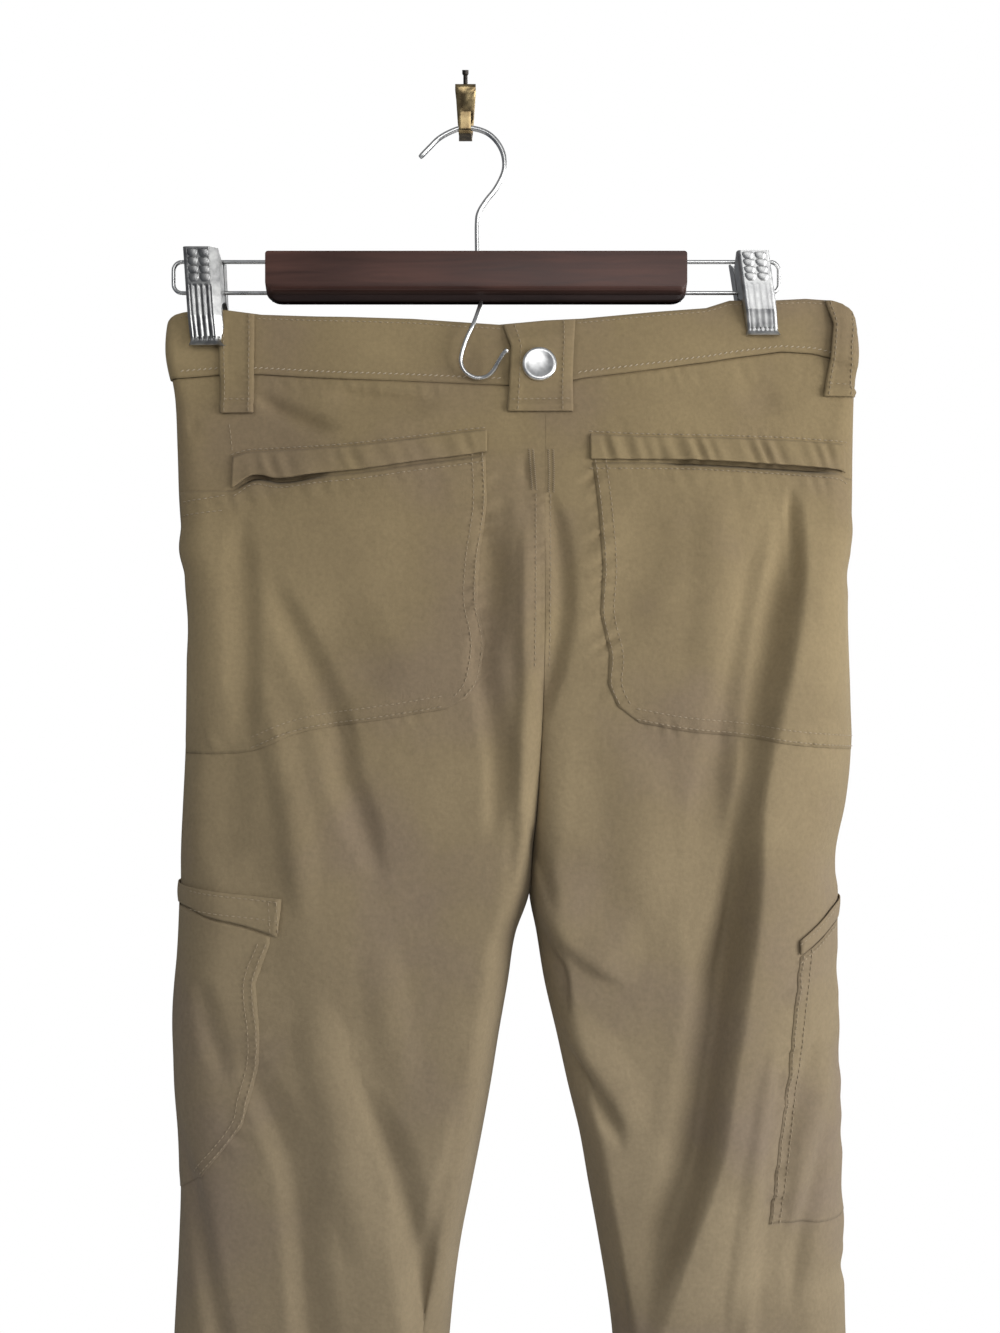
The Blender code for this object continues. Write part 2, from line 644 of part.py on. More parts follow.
def add_bar(wood):
    """Hanger bar: a planed wooden bar with bored ends for the wires and bores for both hooks."""
    bpy.ops.mesh.primitive_cube_add(size=1)
    bar = bpy.context.object
    bar.name = "hanger_bar"
    size = (BAR_X[1] - BAR_X[0], BAR_DEPTH, BAR_Z[1] - BAR_Z[0])
    bar.data.transform(Matrix.Diagonal((*(s * MM for s in size), 1)))
    bar.location = Vector((sum(BAR_X) / 2, HANGER_Y, sum(BAR_Z) / 2)) * MM
    bar.data.materials.append(wood)
    for holder in bar.users_collection:
        holder.objects.unlink(bar)
    PARTS.objects.link(bar)
    round_off = bar.modifiers.new("Bevel", "BEVEL")
    round_off.width = 1.6 * MM
    round_off.segments = 2
    for number, height in enumerate(WIRE_Z):
        for side, face, inward in (("left", BAR_X[0], 1), ("right", BAR_X[1], -1)):
            start = (face - 3 * inward, HANGER_Y, height)
            end = (face + (WIRE_SOCKET + 1) * inward, HANGER_Y, height)
            bore(bar, cutter(f"socket_{side}_{number}", start, end, WIRE_R + GAP))
    mouth = (HOOK_X, HANGER_Y, BAR_Z[1] + 3)
    seat = (HOOK_X, HANGER_Y, BAR_Z[1] - HOOK_SEAT - 1)
    bore(bar, cutter("hook_bore", mouth, seat, HOOK_R + GAP))
    mouth = (LOWER_X, HANGER_Y - 2, BAR_Z[0] - 3)
    seat = (LOWER_X, HANGER_Y - 2, BAR_Z[0] + LOWER_SEAT + 1)
    bore(bar, cutter("lower_bore", mouth, seat, LOWER_R + 2 * GAP))


def add_hooks(steel):
    """Top hook, seated in the bar, and the lower hook in front of the waistband."""
    y = HANGER_Y
    top = [(HOOK_X, y, BAR_Z[1] - HOOK_SEAT), (HOOK_X, y, BAR_Z[1]), (7.1, y, -72.3), (8.1, y, -65.4),
           (12.2, y, -58.6), (17.7, y, -51.6), (21.9, y, -43.5), (23.0, y, -37), (21.7, y, -29.9),
           (18.0, y, -23.6), (12.6, y, -19.0), (5.5, y, -16.6), (-1.4, y, -16.2), (-8.2, y, -18.4),
           (-15.1, y, -22.3), (-20.4, y, -27.4), (-26.1, y, -33.3)]
    wire("hanger_hook", steel, smooth_path(top, 2), HOOK_R)
    low = [(LOWER_X, y - 2, BAR_Z[0] + LOWER_SEAT), (LOWER_X, y - 2, BAR_Z[0] - 2), (8.2, y - 11.5, -127.6),
           (6.0, y - 17.8, -137.6), (2.1, y - 19.6, -147.4), (-0.4, y - 20, -155.2),
           (-1.0, y - 20, -160.4), (1.0, y - 20, -165.7), (6.3, y - 20, -169.3), (12.6, y - 20.2, -169.3),
           (16.6, y - 21.6, -166.8), (19.7, y - 23.2, -162.2), (22.4, y - 24.6, -157.9),
           (25.1, y - 25.4, -154.9)]
    wire("lower_hook", steel, smooth_path(low, 2), LOWER_R)


def add_side_wires(steel):
    """Wire loop at each end of the bar, both legs seated in it."""
    for side, face, inward in (("left", BAR_X[0], 1), ("right", BAR_X[1], -1)):
        bend = (WIRE_Z[0] - WIRE_Z[1]) / 2
        centre = WIRE_END[side] + bend * inward
        path = [(face + WIRE_SOCKET * inward, HANGER_Y, WIRE_Z[0])]
        for step in range(11):
            angle = math.pi / 2 + math.pi * step / 10
            path.append((centre + bend * math.cos(angle) * inward, HANGER_Y,
                         (WIRE_Z[0] + WIRE_Z[1]) / 2 + bend * math.sin(angle)))
        path.append((face + WIRE_SOCKET * inward, HANGER_Y, WIRE_Z[1]))
        wire(f"side_wire_{side}", steel, path, WIRE_R)


# Spring clips: the middle of the top edge, the heights of both ends, half the width, the
# sideways lean per millimetre of fall, and how far the back jaw stands off to clear a belt loop.
CLIPS = {
    "left": {"x": -148.2, "top": -88.0, "end": -145.0, "half": 8.6, "lean": 0.075, "over": 2.4},
    "right": {"x": 162.6, "top": -89.5, "end": -140.5, "half": 8.8, "lean": 0.16, "over": 0.0},
}
LIP_RIM = 0.9         # low rim round a lip, which bites the cloth
SPRING_R = 3.2        # coil between the jaws
JAW_PROFILE = (
    # share of the height, stand-off from the lip's plane, depth of the side flange (None: it
    # reaches the side wires and rides on them)
    (0.00, 5.6, 2.0),
    (0.12, 5.2, None),
    (0.50, 4.4, None),
    (0.57, 4.1, 2.8),
    (0.70, 3.6, 2.4),
    (0.94, 0.0, LIP_RIM),
    (1.00, 1.0, LIP_RIM),
)


def band_face(side, x, z, face):
    """Y of the waistband's outer face over one place."""
    outer, inner = limits(side, z)
    a = math.copysign((x - outer) / (inner - outer), 1 if face == "front" else -1)
    return (skin(side, a, z) + outward(side, a, z) * BAND_OUT).y


def add_clip(side, steel):
    """Two stamped jaws that grip the band from both faces, and the coil spring between them."""
    size = CLIPS[side]
    fall = size["top"] - size["end"]
    lip_z = size["top"] - 0.94 * fall
    lip_x = size["x"] + size["lean"] * 0.94 * fall
    for face, sign in (("back", -1), ("front", 1)):
        reach = [band_face(side, lip_x + dx, lip_z + dz, face) * sign
                 for dx in (-size["half"], 0, size["half"]) for dz in (-4, 0, 6)]
        lip = max(reach) + GAP + LIP_RIM + (size["over"] if face == "back" else 0.0)
        bm = bmesh.new()
        lines = []
        for share, stand, flange in JAW_PROFILE:
            z = size["top"] - share * fall
            x = size["x"] + size["lean"] * share * fall
            y = (lip + stand) * sign
            inner = HANGER_Y + (WIRE_R + GAP) * sign if flange is None else y - flange * sign
            corners = ((x - size["half"], inner), (x - size["half"], y), (x + size["half"], y),
                       (x + size["half"], inner))
            lines.append([bm.verts.new((cx, cy, z)) for cx, cy in corners])
        for upper, lower in zip(lines, lines[1:]):
            for i in range(3):
                quad = (upper[i], upper[i + 1], lower[i + 1], lower[i])
                bm.faces.new(quad if sign < 0 else reversed(quad))
        bmesh.ops.scale(bm, vec=(MM, MM, MM), verts=bm.verts)
        mesh = bpy.data.meshes.new(f"clip_{face}_{side}")
        bm.to_mesh(mesh)
        bm.free()
        mesh.materials.append(steel)
        jaw = bpy.data.objects.new(mesh.name, mesh)
        PARTS.objects.link(jaw)
        sheet = jaw.modifiers.new("Solidify", "SOLIDIFY")
        sheet.thickness = PLATE * MM
        sheet.offset = 0
        sheet.use_even_offset = True
    middle = size["top"] - 0.30 * fall
    reach = size["half"] - PLATE / 2 - 2.5 * GAP
    spring = ((0, reach), (SPRING_R, reach), (SPRING_R, -reach), (0, -reach))
    item = turned(f"clip_spring_{side}", steel, spring, 12)
    stand_on(item, Vector((size["x"] + size["lean"] * 0.30 * fall, HANGER_Y, middle)), Vector((1, 0, 0)))


def add_wall_hook(brass, dark):
    """Brass picture hook: a tapered strip folded forward at the top round its nail, flat on the
    wall behind, and curled up at the foot to hold the hanger's wire."""
    nail_foot = Vector((0, -0.35, 2.0))
    nail_head = Vector((0, -8.6, 21.5))
    cradle = HOOK_R + GAP + PLATE / 2
    wire_z = -16.75
    strip = [(-3.2, -6.0, 4.6), (-8.2, 9.5, 6.0), (-8.4, 12.4, 6.0), (-7.0, 13.4, 6.0), (-2.0, 13.4, 6.0),
             (-PLATE / 2, 12.0, 6.0), (-PLATE / 2, -6.0, 4.8), (-PLATE / 2, -13.0, 4.2)]
    for step in range(1, 4):
        angle = math.pi / 2 * step / 3
        strip.append((-PLATE / 2 - 5.5 * (1 - math.cos(angle)), -13.0 - 5.5 * math.sin(angle), 3.9))
    for step in range(7):
        angle = -math.pi * (0.5 + 0.5 * step / 6)
        strip.append((HANGER_Y + cradle * math.cos(angle), wire_z + cradle * math.sin(angle), 3.5))
    strip.append((HANGER_Y - cradle - 0.6, -7.5, 3.4))
    bm = bmesh.new()
    lines = [[bm.verts.new((x, y, z)) for x in (-half, half)] for y, z, half in strip]
    for upper, lower in zip(lines, lines[1:]):
        bm.faces.new((upper[0], upper[1], lower[1], lower[0]))
    bmesh.ops.scale(bm, vec=(MM, MM, MM), verts=bm.verts)
    mesh = bpy.data.meshes.new("wall_hook")
    bm.to_mesh(mesh)
    bm.free()
    mesh.materials.append(brass)
    item = bpy.data.objects.new("wall_hook", mesh)
    PARTS.objects.link(item)
    sheet = item.modifiers.new("Solidify", "SOLIDIFY")
    sheet.thickness = PLATE * MM
    sheet.offset = 0
    sheet.use_even_offset = True
    along = (nail_foot - nail_head).normalized()
    bore(item, cutter("nail_hole", nail_head, nail_foot + along * 6, 1.3 + GAP))
    length = (nail_foot - nail_head).length
    profile = ((0, length), (1.9, length), (1.9, length - 2.2), (1.3, length - 3.0), (1.3, 0), (0, 0))
    stand_on(turned("wall_nail", dark, profile, 12), nail_foot, -along)


for leftover in list(bpy.data.objects):
    bpy.data.objects.remove(leftover)
PARTS = bpy.data.collections.new("cargo_pants_on_hanger")
CUTTERS = bpy.data.collections.new("cutters")
bpy.context.scene.collection.children.link(PARTS)
bpy.context.scene.collection.children.link(CUTTERS)

khaki = shade("khaki_cloth", (0.29, 0.21, 0.125), 0.9)
wood_brown = shade("hanger_wood", (0.085, 0.045, 0.033), 0.45)
wire_steel = shade("wire_steel", (0.62, 0.62, 0.62), 0.25, 1.0)
clip_steel = shade("clip_steel", (0.55, 0.55, 0.54), 0.3, 1.0)
cap_metal = shade("button_metal", (0.6, 0.6, 0.58), 0.3, 1.0)
hook_brass = shade("hook_brass", (0.45, 0.33, 0.13), 0.3, 1.0)
nail_dark = shade("nail_dark", (0.05, 0.045, 0.04), 0.4, 0.8)

panel_grids = {(side, face): Grid(side, face) for side in ("left", "right") for face in ("back", "front")}
add_panels(khaki, panel_grids)
add_waistband(khaki)
add_loops(khaki)
add_seat(khaki, panel_grids)
add_cargo(khaki, panel_grids)
add_front(khaki, panel_grids)
add_hems(khaki, panel_grids)
add_fasteners(cap_metal)
add_bar(wood_brown)
add_hooks(wire_steel)
add_side_wires(wire_steel)
for clip_side in CLIPS:
    add_clip(clip_side, clip_steel)
add_wall_hook(hook_brass, nail_dark)
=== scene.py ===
"""Cargo pants clipped by the waistband to a wooden hanger, which hangs on a brass wall hook.

Lengths in the tables are in millimetres and become metres when a mesh is made. X runs along the
hanger bar, Z is up, and the back of the garment faces the room at -Y. Left and right are the
wearer's own, so the left leg lies at -X.
"""
import math

import bpy
import numpy as np
from mathutils import Matrix, Vector


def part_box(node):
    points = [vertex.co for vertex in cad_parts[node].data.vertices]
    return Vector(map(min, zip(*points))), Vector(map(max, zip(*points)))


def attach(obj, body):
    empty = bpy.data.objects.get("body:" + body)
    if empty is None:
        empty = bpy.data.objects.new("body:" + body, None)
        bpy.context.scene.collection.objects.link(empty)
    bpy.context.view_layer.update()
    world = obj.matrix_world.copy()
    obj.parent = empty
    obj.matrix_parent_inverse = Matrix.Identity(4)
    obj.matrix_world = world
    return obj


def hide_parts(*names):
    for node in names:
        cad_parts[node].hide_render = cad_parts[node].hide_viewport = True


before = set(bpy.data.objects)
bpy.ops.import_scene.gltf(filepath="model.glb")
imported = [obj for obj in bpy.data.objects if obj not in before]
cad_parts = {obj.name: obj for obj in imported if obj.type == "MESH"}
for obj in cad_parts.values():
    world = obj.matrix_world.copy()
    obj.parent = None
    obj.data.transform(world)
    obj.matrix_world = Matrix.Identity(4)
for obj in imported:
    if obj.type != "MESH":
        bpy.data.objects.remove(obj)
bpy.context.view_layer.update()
bpy.context.scene.view_settings.view_transform = "Standard"


# ---- Cloth of the whole garment --------------------------------------------------------------
# Light woven cotton and nylon twill, dyed khaki and softened by washing. One form carries every
# sewn piece: the hanging legs' outline and depth, then the folds, then the puckers of the seams.
MM = 0.001
GAP = 0.3
SEAM_SHUT = 0.11  # how much nearer the shells lie at the centre seam, so that no light passes
CROTCH_Z = -457.0
OUTLINE = {
    "z": (-118, -132, -145, -174, -204, -233, -262, -290, -348, -376, -404, -433,
          -457, -478, -506, -535, -563, -591, -620, -648, -704, -780, -900, -1100, -1240),
    "left_side": (-169.5, -171.5, -172, -167.5, -165.7, -164.2, -161.5, -159.3, -158, -158.2, -159.2,
                  -160.2, -160.0, -160.6, -162.2, -163.2, -162.6, -160.4, -159.6, -160.4, -163.2, -166,
                  -167, -168, -168),
    "left_inner": (46, 46, 46, 46, 45.8, 45.3, 45.1, 45, 44, 42.6, 40.8, 38.2,
                   36.8, 29.4, 24.8, 19.7, 15.2, 10.1, 4.4, -1.2, -8, -11, -13, -12, -10),
    "right_inner": (46, 46, 46, 46, 45.8, 45.3, 45.1, 45, 44, 42.6, 40.8, 38.2,
                    36.8, 40.7, 45.3, 52.1, 58.3, 65.1, 70.2, 75.3, 83.7, 86, 86, 84, 82),
    "right_side": (222.5, 225.5, 226.6, 224.8, 223.6, 222.6, 221, 218.7, 219, 219.2, 216,
                   210, 210.2, 210, 210.4, 210.2, 210.8, 212.6, 211.8, 213.4, 215, 219, 223, 226, 228),
}
DEPTH = {
    "z": (-118, -155, -200, -260, -320, -400, -461, -560, -715, -900, -1100, -1240),
    "middle": (-18, -19, -21, -25, -29, -33, -35, -36, -37, -36, -35, -35),
    "back_edge": (5, 6, 12, 20, 26, 31, 33, 34, 33, 31, 28, 26),
    "back_belly": (3, 6, 10, 11, 11, 10, 8, 8, 8, 7, 6, 5),
    "front_edge": (5, 6, 10, 15, 19, 23, 25, 26, 27, 26, 24, 23),
    "front_belly": (2, 4, 5, 5.5, 6, 6, 6, 6, 6, 5, 5, 5),
    "side_round": (8, 10, 22, 34, 42, 50, 52, 52, 50, 48, 46, 44),
}
SEAM_OUT = ((118, 1.0), (250, 1.0), (330, 0.96), (380, 0.86), (415, 0.68), (438, 0.45), (450, 0.22),
            (-CROTCH_Z, 0.0), (1240, 0.0))
SIDE_WAVES = (
    # side, height, half its length, how far the edge swells
    ("left", -262, 15, 2.2), ("left", -305, 22, -0.8), ("left", -520, 30, 0.8),
    ("right", -252, 12, 0.8), ("right", -276, 13, -1.2), ("right", -454, 11, 1.0),
    ("right", -498, 14, -1.0), ("right", -530, 14, 0.7), ("right", -560, 11, 0.9),
    ("right", -590, 12, -1.2), ("right", -636, 15, 1.4), ("right", -664, 11, -1.8),
    ("right", -760, 30, 1.5), ("left", -830, 40, -1.6), ("right", -930, 36, -1.5),
)
FOLDS = {
    "back": (
        # height, width on the left and on the right of the line as it runs down, sharpness on
        # both sides or on each, its points
        (7.6, 13, 50, (0.5, 0.0), (192, -214), (190, -240), (189, -266), (186, -288), (182.5, -306),
         (176, -334), (171.5, -348), (167, -366), (163, -386), (160, -406), (159.5, -428),
         (159.5, -449), (157, -476), (153, -502), (149, -526), (145.5, -547), (142.5, -568),
         (139.5, -586), (134, -605), (128, -621), (122.5, -636), (117, -652), (109, -676),
         (99, -706), (90, -740)),
        (2.6, 40, 46, (0.4, 0.0), (190, -240), (186, -288), (176, -334), (163, -386), (159.5, -449),
         (153, -502), (145.5, -547), (134, -605), (117, -652), (99, -706), (90, -740)),
        (-7.0, 28, 15, 0.0, (180, -226), (175, -286), (164, -334), (152, -378), (147, -406),
         (146, -440), (143, -470), (138, -500), (132, -530)),
        (-4.0, 24, 12, 0.0, (147, -446), (143, -480), (137, -520), (131, -555), (125, -590), (115, -622),
         (104, -650), (94, -676)),
        (-3.5, 4, 8, 0.3, (182, -222), (183.5, -246), (184, -270), (181, -296)),
        (3.2, 17, 12, (0.4, 0.0), (154, -356), (147, -388), (140, -418), (136, -446), (135, -474),
         (133, -500)),
        (-4.5, 12, 16, 0.2, (-38, -596), (-30, -636), (-22, -680), (-15, -740), (-10, -800)),
        (2.6, 30, 42, 0.0, (-108, -330), (-92, -400), (-78, -470), (-70, -530)),
        (4.4, 11, 13, 0.4, (172, -236), (170, -262), (165, -284), (156, -325), (150.5, -365),
         (146, -405), (143, -430)),
        (-6.6, 21, 7, 0.0, (153, -412), (151, -451), (146, -481), (140, -510), (135, -539),
         (130.5, -569), (125, -598), (118, -622), (108, -648), (97, -676)),
        (-2.4, 34, 22, 0.0, (104, -590), (96, -620), (84, -650), (72, -690), (62, -740)),
        (2.2, 7, 8, 0.2, (167.4, -520), (161.4, -560), (153.4, -605), (148.4, -640), (143.4, -700)),
        (2.0, 7, 8, 0.1, (159.4, -585), (155.4, -630), (152.4, -680), (149.4, -730)),
        (-2.4, 8, 9, 0.2, (194.9, -520), (185.9, -545), (173.9, -580), (167.9, -610)),
        (-2.4, 9, 9, 0.2, (200.9, -575), (191.9, -605), (181.9, -640), (176.9, -680)),
        (2.2, 8, 9, 0.1, (201.9, -540), (192.9, -566), (181.9, -600), (176.9, -640)),
        (2.4, 18, 16, 0.0, (138.8, -226), (141.8, -262), (138.8, -300), (130.8, -345)),
        (-2.2, 22, 24, 0.0, (101.2, -232), (95.2, -268), (85.2, -300), (81.2, -330)),
        (2.0, 24, 22, 0.0, (74.1, -352), (94.1, -392), (96.1, -440), (88.1, -480)),
        (-3.2, 3.0, 7, 0.4, (36, -408), (38.5, -428), (42.5, -440), (48, -456), (52, -466)),
        (4.2, 8, 40, 0.2, (37, -436), (45, -457), (54, -473), (65, -483), (78, -492), (94, -502)),
        (-3.6, 8, 4.0, 0.3, (39.5, -462), (45, -480), (53, -492), (55, -506), (57, -520)),
        (-4.2, 10, 4.5, 0.3, (50, -526), (56, -537), (64, -549), (74, -562), (83, -577), (88, -592)),
        (3.4, 7, 20, 0.1, (53, -512), (63, -531), (73, -546), (84, -563), (94, -584)),
        (-3.0, 9, 9, 0.2, (74, -640), (84, -675), (94, -712), (99, -760)),
        (3.4, 7, 8, 0.0, (36, -228), (35.5, -270), (35, -312), (34.5, -343), (33, -364), (32.5, -399),
         (33, -421), (30, -442), (27, -456), (23, -472)),
        (-4.8, 7, 14, 0.1, (7, -232), (12.6, -260), (14.6, -285), (11.6, -309), (9, -329),
         (13, -350), (18, -378), (17, -405), (13, -432)),
        (-3.8, 8, 9, 0.2, (46, -224), (50.5, -246), (54, -270), (54.5, -299), (50, -325), (45.5, -343),
         (43, -364)),
        (2.0, 9, 8, 0.0, (26.4, -222), (30.4, -258), (30.4, -300), (31.4, -335)),
        (1.0, 5, 6, 0.1, (41, -226), (41, -262), (41, -300), (40.5, -350)),
        (-2.2, 5, 4, 0.3, (33.5, -206), (35, -218), (37, -233)),
        (-1.6, 4, 4, 0.2, (36, -236), (44, -238), (52, -236)),
        (-2.8, 14, 11, 0.2, (-125.4, -238), (-123.4, -268), (-121.4, -300), (-119.4, -335),
         (-117.4, -374)),
        (-3.0, 18, 20, 0.0, (-133, -366), (-131, -410), (-134, -446)),
        (-4.2, 13, 12, 0.25, (-107.4, -272), (-97.9, -299), (-79.4, -335), (-68, -361), (-64, -388),
         (-58, -402), (-49, -428), (-42, -452)),
        (2.6, 12, 14, 0.0, (-116.3, -326), (-101.3, -370), (-90.3, -420), (-84.3, -474)),
        (-2.6, 30, 26, 0.0, (-73.7, -286), (-59.7, -320), (-43.7, -352)),
        (2.0, 16, 14, 0.0, (-44.3, -468), (-38.3, -520), (-26.3, -566)),
        (-4.6, 11, 20, 0.25, (-127, -528), (-115, -548), (-101, -578), (-91, -606), (-87, -650),
         (-83, -700), (-78, -760), (-75, -820)),
        (-4.4, 9, 16, 0.3, (-60.2, -536), (-48.2, -568), (-37.2, -594), (-26.2, -628), (-20.2, -662),
         (-15.2, -706), (-10, -760), (-7, -820)),
        (-3.6, 8, 12, 0.3, (-158.4, -572), (-152.4, -600), (-145.4, -630), (-138.4, -662),
         (-130.4, -704), (-124, -750), (-120, -800)),
        (-2.6, 9, 12, 0.2, (-144.4, -494), (-137.4, -525), (-126.4, -558)),
        (3.2, 18, 18, 0.0, (-82.1, -496), (-72.1, -550), (-60.1, -602), (-50.1, -660)),
        (-4.8, 6, 10, 0.4, (-123, -169), (-112, -179.5), (-99, -187), (-84, -192.5), (-68, -195)),
        (-3.2, 15, 6, 0.2, (-84, -172), (-62, -175), (-38, -178), (-10, -180)),
        (3.4, 44, 9, 0.0, (-2, -548), (-14, -594), (-26, -640), (-34, -690), (-38, -740)),
        (-2.0, 3, 5, 0.4, (-158.2, -181), (-155.2, -191), (-154.2, -201)),
        (-2.0, 12, 14, 0.0, (150, -164), (168, -176), (182, -188)),
        (-3.0, 20, 22, 0.0, (50.1, -780), (82.1, -860), (100.1, -960)),
        (3.0, 20, 22, 0.0, (140.1, -760), (150.1, -880), (146.1, -1010)),
        (-3.2, 18, 18, 0.1, (187.9, -740), (177.9, -840), (181.9, -960)),
        (-2.6, 16, 18, 0.0, (111.9, -1000), (125.9, -1090), (121.9, -1190)),
        (-3.2, 18, 20, 0.1, (-69, -740), (-53, -840), (-59, -950)),
        (-3.0, 18, 18, 0.1, (-138.1, -760), (-120.1, -850), (-112.1, -960)),
        (3.0, 22, 22, 0.0, (-97.9, -760), (-87.9, -880), (-91.9, -1010)),
        (-2.4, 16, 16, 0.0, (-127.2, -1010), (-135.2, -1100), (-129.2, -1190)),
        (-2.4, 16, 16, 0.0, (-51.2, -1030), (-59.2, -1120), (-53.2, -1200)),
    ),
    "front": (
        (-3.4, 10, 13, 0.2, (-62, -330), (-20, -385), (20, -428), (34, -446)),
        (-3.4, 13, 10, 0.2, (142, -330), (104, -385), (66, -428), (50, -446)),
        (2.4, 12, 14, 0.0, (-50, -300), (-16, -352), (20, -400)),
        (2.4, 14, 12, 0.0, (132, -300), (98, -352), (66, -400)),
        (-4.2, 12, 18, 0.2, (-124, -520), (-104, -590), (-92, -660), (-86, -730)),
        (-3.6, 14, 12, 0.2, (-30, -560), (-42, -630), (-40, -700)),
        (-4.2, 18, 12, 0.2, (168, -520), (150, -590), (142, -660), (140, -730)),
        (-3.4, 12, 14, 0.2, (92, -560), (106, -630), (104, -700)),
        (2.8, 18, 18, 0.0, (-72, -480), (-70, -600), (-66, -720)),
        (2.8, 18, 18, 0.0, (126, -480), (124, -600), (122, -720)),
        (-3.0, 20, 18, 0.0, (-110, -790), (-92, -890), (-98, -1000)),
        (-3.0, 18, 20, 0.0, (180, -790), (166, -890), (170, -1000)),
        (-2.6, 16, 18, 0.0, (-56, -850), (-62, -960), (-56, -1070)),
        (-2.6, 16, 18, 0.0, (112, -850), (120, -960), (116, -1070)),
        (-2.2, 10, 12, 0.1, (-132, -200), (-120, -250), (-118, -320)),
        (-2.2, 12, 10, 0.1, (196, -200), (184, -250), (180, -320)),
    ),
}
PUCKERS = {
    "back": (
        # height, pitch, reach off the seam, phase, the seam's points
        (1.5, 11.5, 6.5, 0.4, (72, -216), (75, -240), (77, -273), (75.5, -299), (80, -322),
         (78, -338), (83, -352)),
        (0.8, 6.7, 4.0, 2.4, (70, -214), (75, -240), (77, -273), (75.5, -299), (80, -322), (78, -340)),
        (1.15, 12.0, 6.0, 2.1, (12, -214), (13, -238), (9, -268), (8, -293), (12, -315), (9, -341)),
        (0.6, 7.1, 4.0, 0.2, (12, -214), (13, -238), (9, -268), (8, -293), (12, -315), (9, -341)),
        (0.8, 7.6, 5.0, 1.3, (42, -226), (42, -270), (42, -334)),
        (1.2, 9.8, 9.0, 0.0, (74, -205), (120, -207), (170, -208), (214, -209)),
        (0.6, 12.0, 8.0, 1.1, (-126, -217), (-70, -213), (-20, -206), (10, -203)),
        (0.6, 10.5, 7.0, 0.5, (-160, -237), (-130, -234), (-60, -226), (8, -216)),
        (0.5, 9.0, 7.0, 1.4, (74, -222), (120, -223), (170, -224), (214, -226)),
        (0.45, 8.5, 5.0, 0.7, (-160, -166), (-80, -168), (20, -174)),
        (0.45, 8.5, 5.0, 1.9, (62, -171), (120, -162), (210, -158)),
        (0.5, 9.0, 6.0, 0.2, (-148, -372), (-86, -364), (-10, -352)),
        (0.5, 9.0, 6.0, 0.9, (92, -358), (122, -364), (177, -371), (210, -374)),
        (0.8, 13.5, 4.5, 1.7, (-112, -486), (-109, -527), (-110, -545), (-116, -575), (-137, -600)),
        (1.5, 15.0, 5.0, 0.3, (181, -486), (178.5, -510), (176, -536), (172, -573), (165, -626)),
        (0.7, 8.0, 3.5, 2.3, (181, -486), (178.5, -510), (176, -536), (172, -573), (165, -626)),
    ),
    "front": (
        (0.5, 8.0, 5.0, 0.6, (46, -182), (46, -300), (42, -420)),
        (0.4, 9.0, 6.0, 0.7, (-160, -166), (-60, -170), (46, -178)),
        (0.4, 9.0, 6.0, 1.7, (46, -178), (130, -166), (215, -158)),
        (0.6, 10.0, 5.0, 1.1, (-80, -180), (-120, -250), (-150, -300)),
        (0.6, 10.0, 5.0, 2.6, (170, -172), (196, -240), (212, -290)),
    ),
}
MOUTHS = {
    # line of each back pocket's open mouth, under its welt
    "left": ((-130, -228.5), (-118.4, -221.4), (-103.2, -223.6), (-83.1, -221.2), (-55.8, -218.8),
             (-23.4, -214.0), (-1.6, -211.2), (12, -209.0)),
    "right": ((70, -213.2), (112.2, -213.4), (132.4, -213.8), (174.9, -215.6), (208.9, -217.6),
              (217, -220.6)),
}
MOUTH_OPEN = {
    # where the slit gapes: from, to, depth and how far the welt stands off there
    "left": (-131, -72, 4.2, 1.6),
    "right": (108, 215, 4.6, 1.8),
}


def ease(t):
    """0 to 1 with level ends."""
    t = np.clip(t, 0.0, 1.0)
    return t * t * (3 - 2 * t)


def round_in(t):
    """0 to 1 along a quarter of a circle."""
    return np.sqrt(1 - (1 - np.clip(t, 0.0, 1.0)) ** 2)


def down(z, heights, values):
    """Smooth value down a table whose heights fall."""
    xs = -np.asarray(heights, float)
    ys = np.asarray(values, float)
    slopes = np.gradient(ys, xs)
    x = np.clip(-np.asarray(z, float), xs[0], xs[-1])
    i = np.clip(np.searchsorted(xs, x, side="right") - 1, 0, len(xs) - 2)
    span = xs[i + 1] - xs[i]
    t = (x - xs[i]) / span
    start = (1 + 2 * t) * (1 - t) ** 2 * ys[i] + t * (1 - t) ** 2 * span * slopes[i]
    return start + t * t * (3 - 2 * t) * ys[i + 1] + t * t * (t - 1) * span * slopes[i + 1]


def limits(side, z):
    """X of the side seam, with its small swells, and of the inner edge of one leg."""
    outer = down(z, OUTLINE["z"], OUTLINE[side + "_side"])
    away = -1 if side == "left" else 1
    for where, height, half, swell in SIDE_WAVES:
        if where == side:
            outer = outer + away * swell * (1 - np.clip(np.abs(z - height) / half, 0, 1) ** 2) ** 2
    return outer, down(z, OUTLINE["z"], OUTLINE[side + "_inner"]) + away * GAP / 2


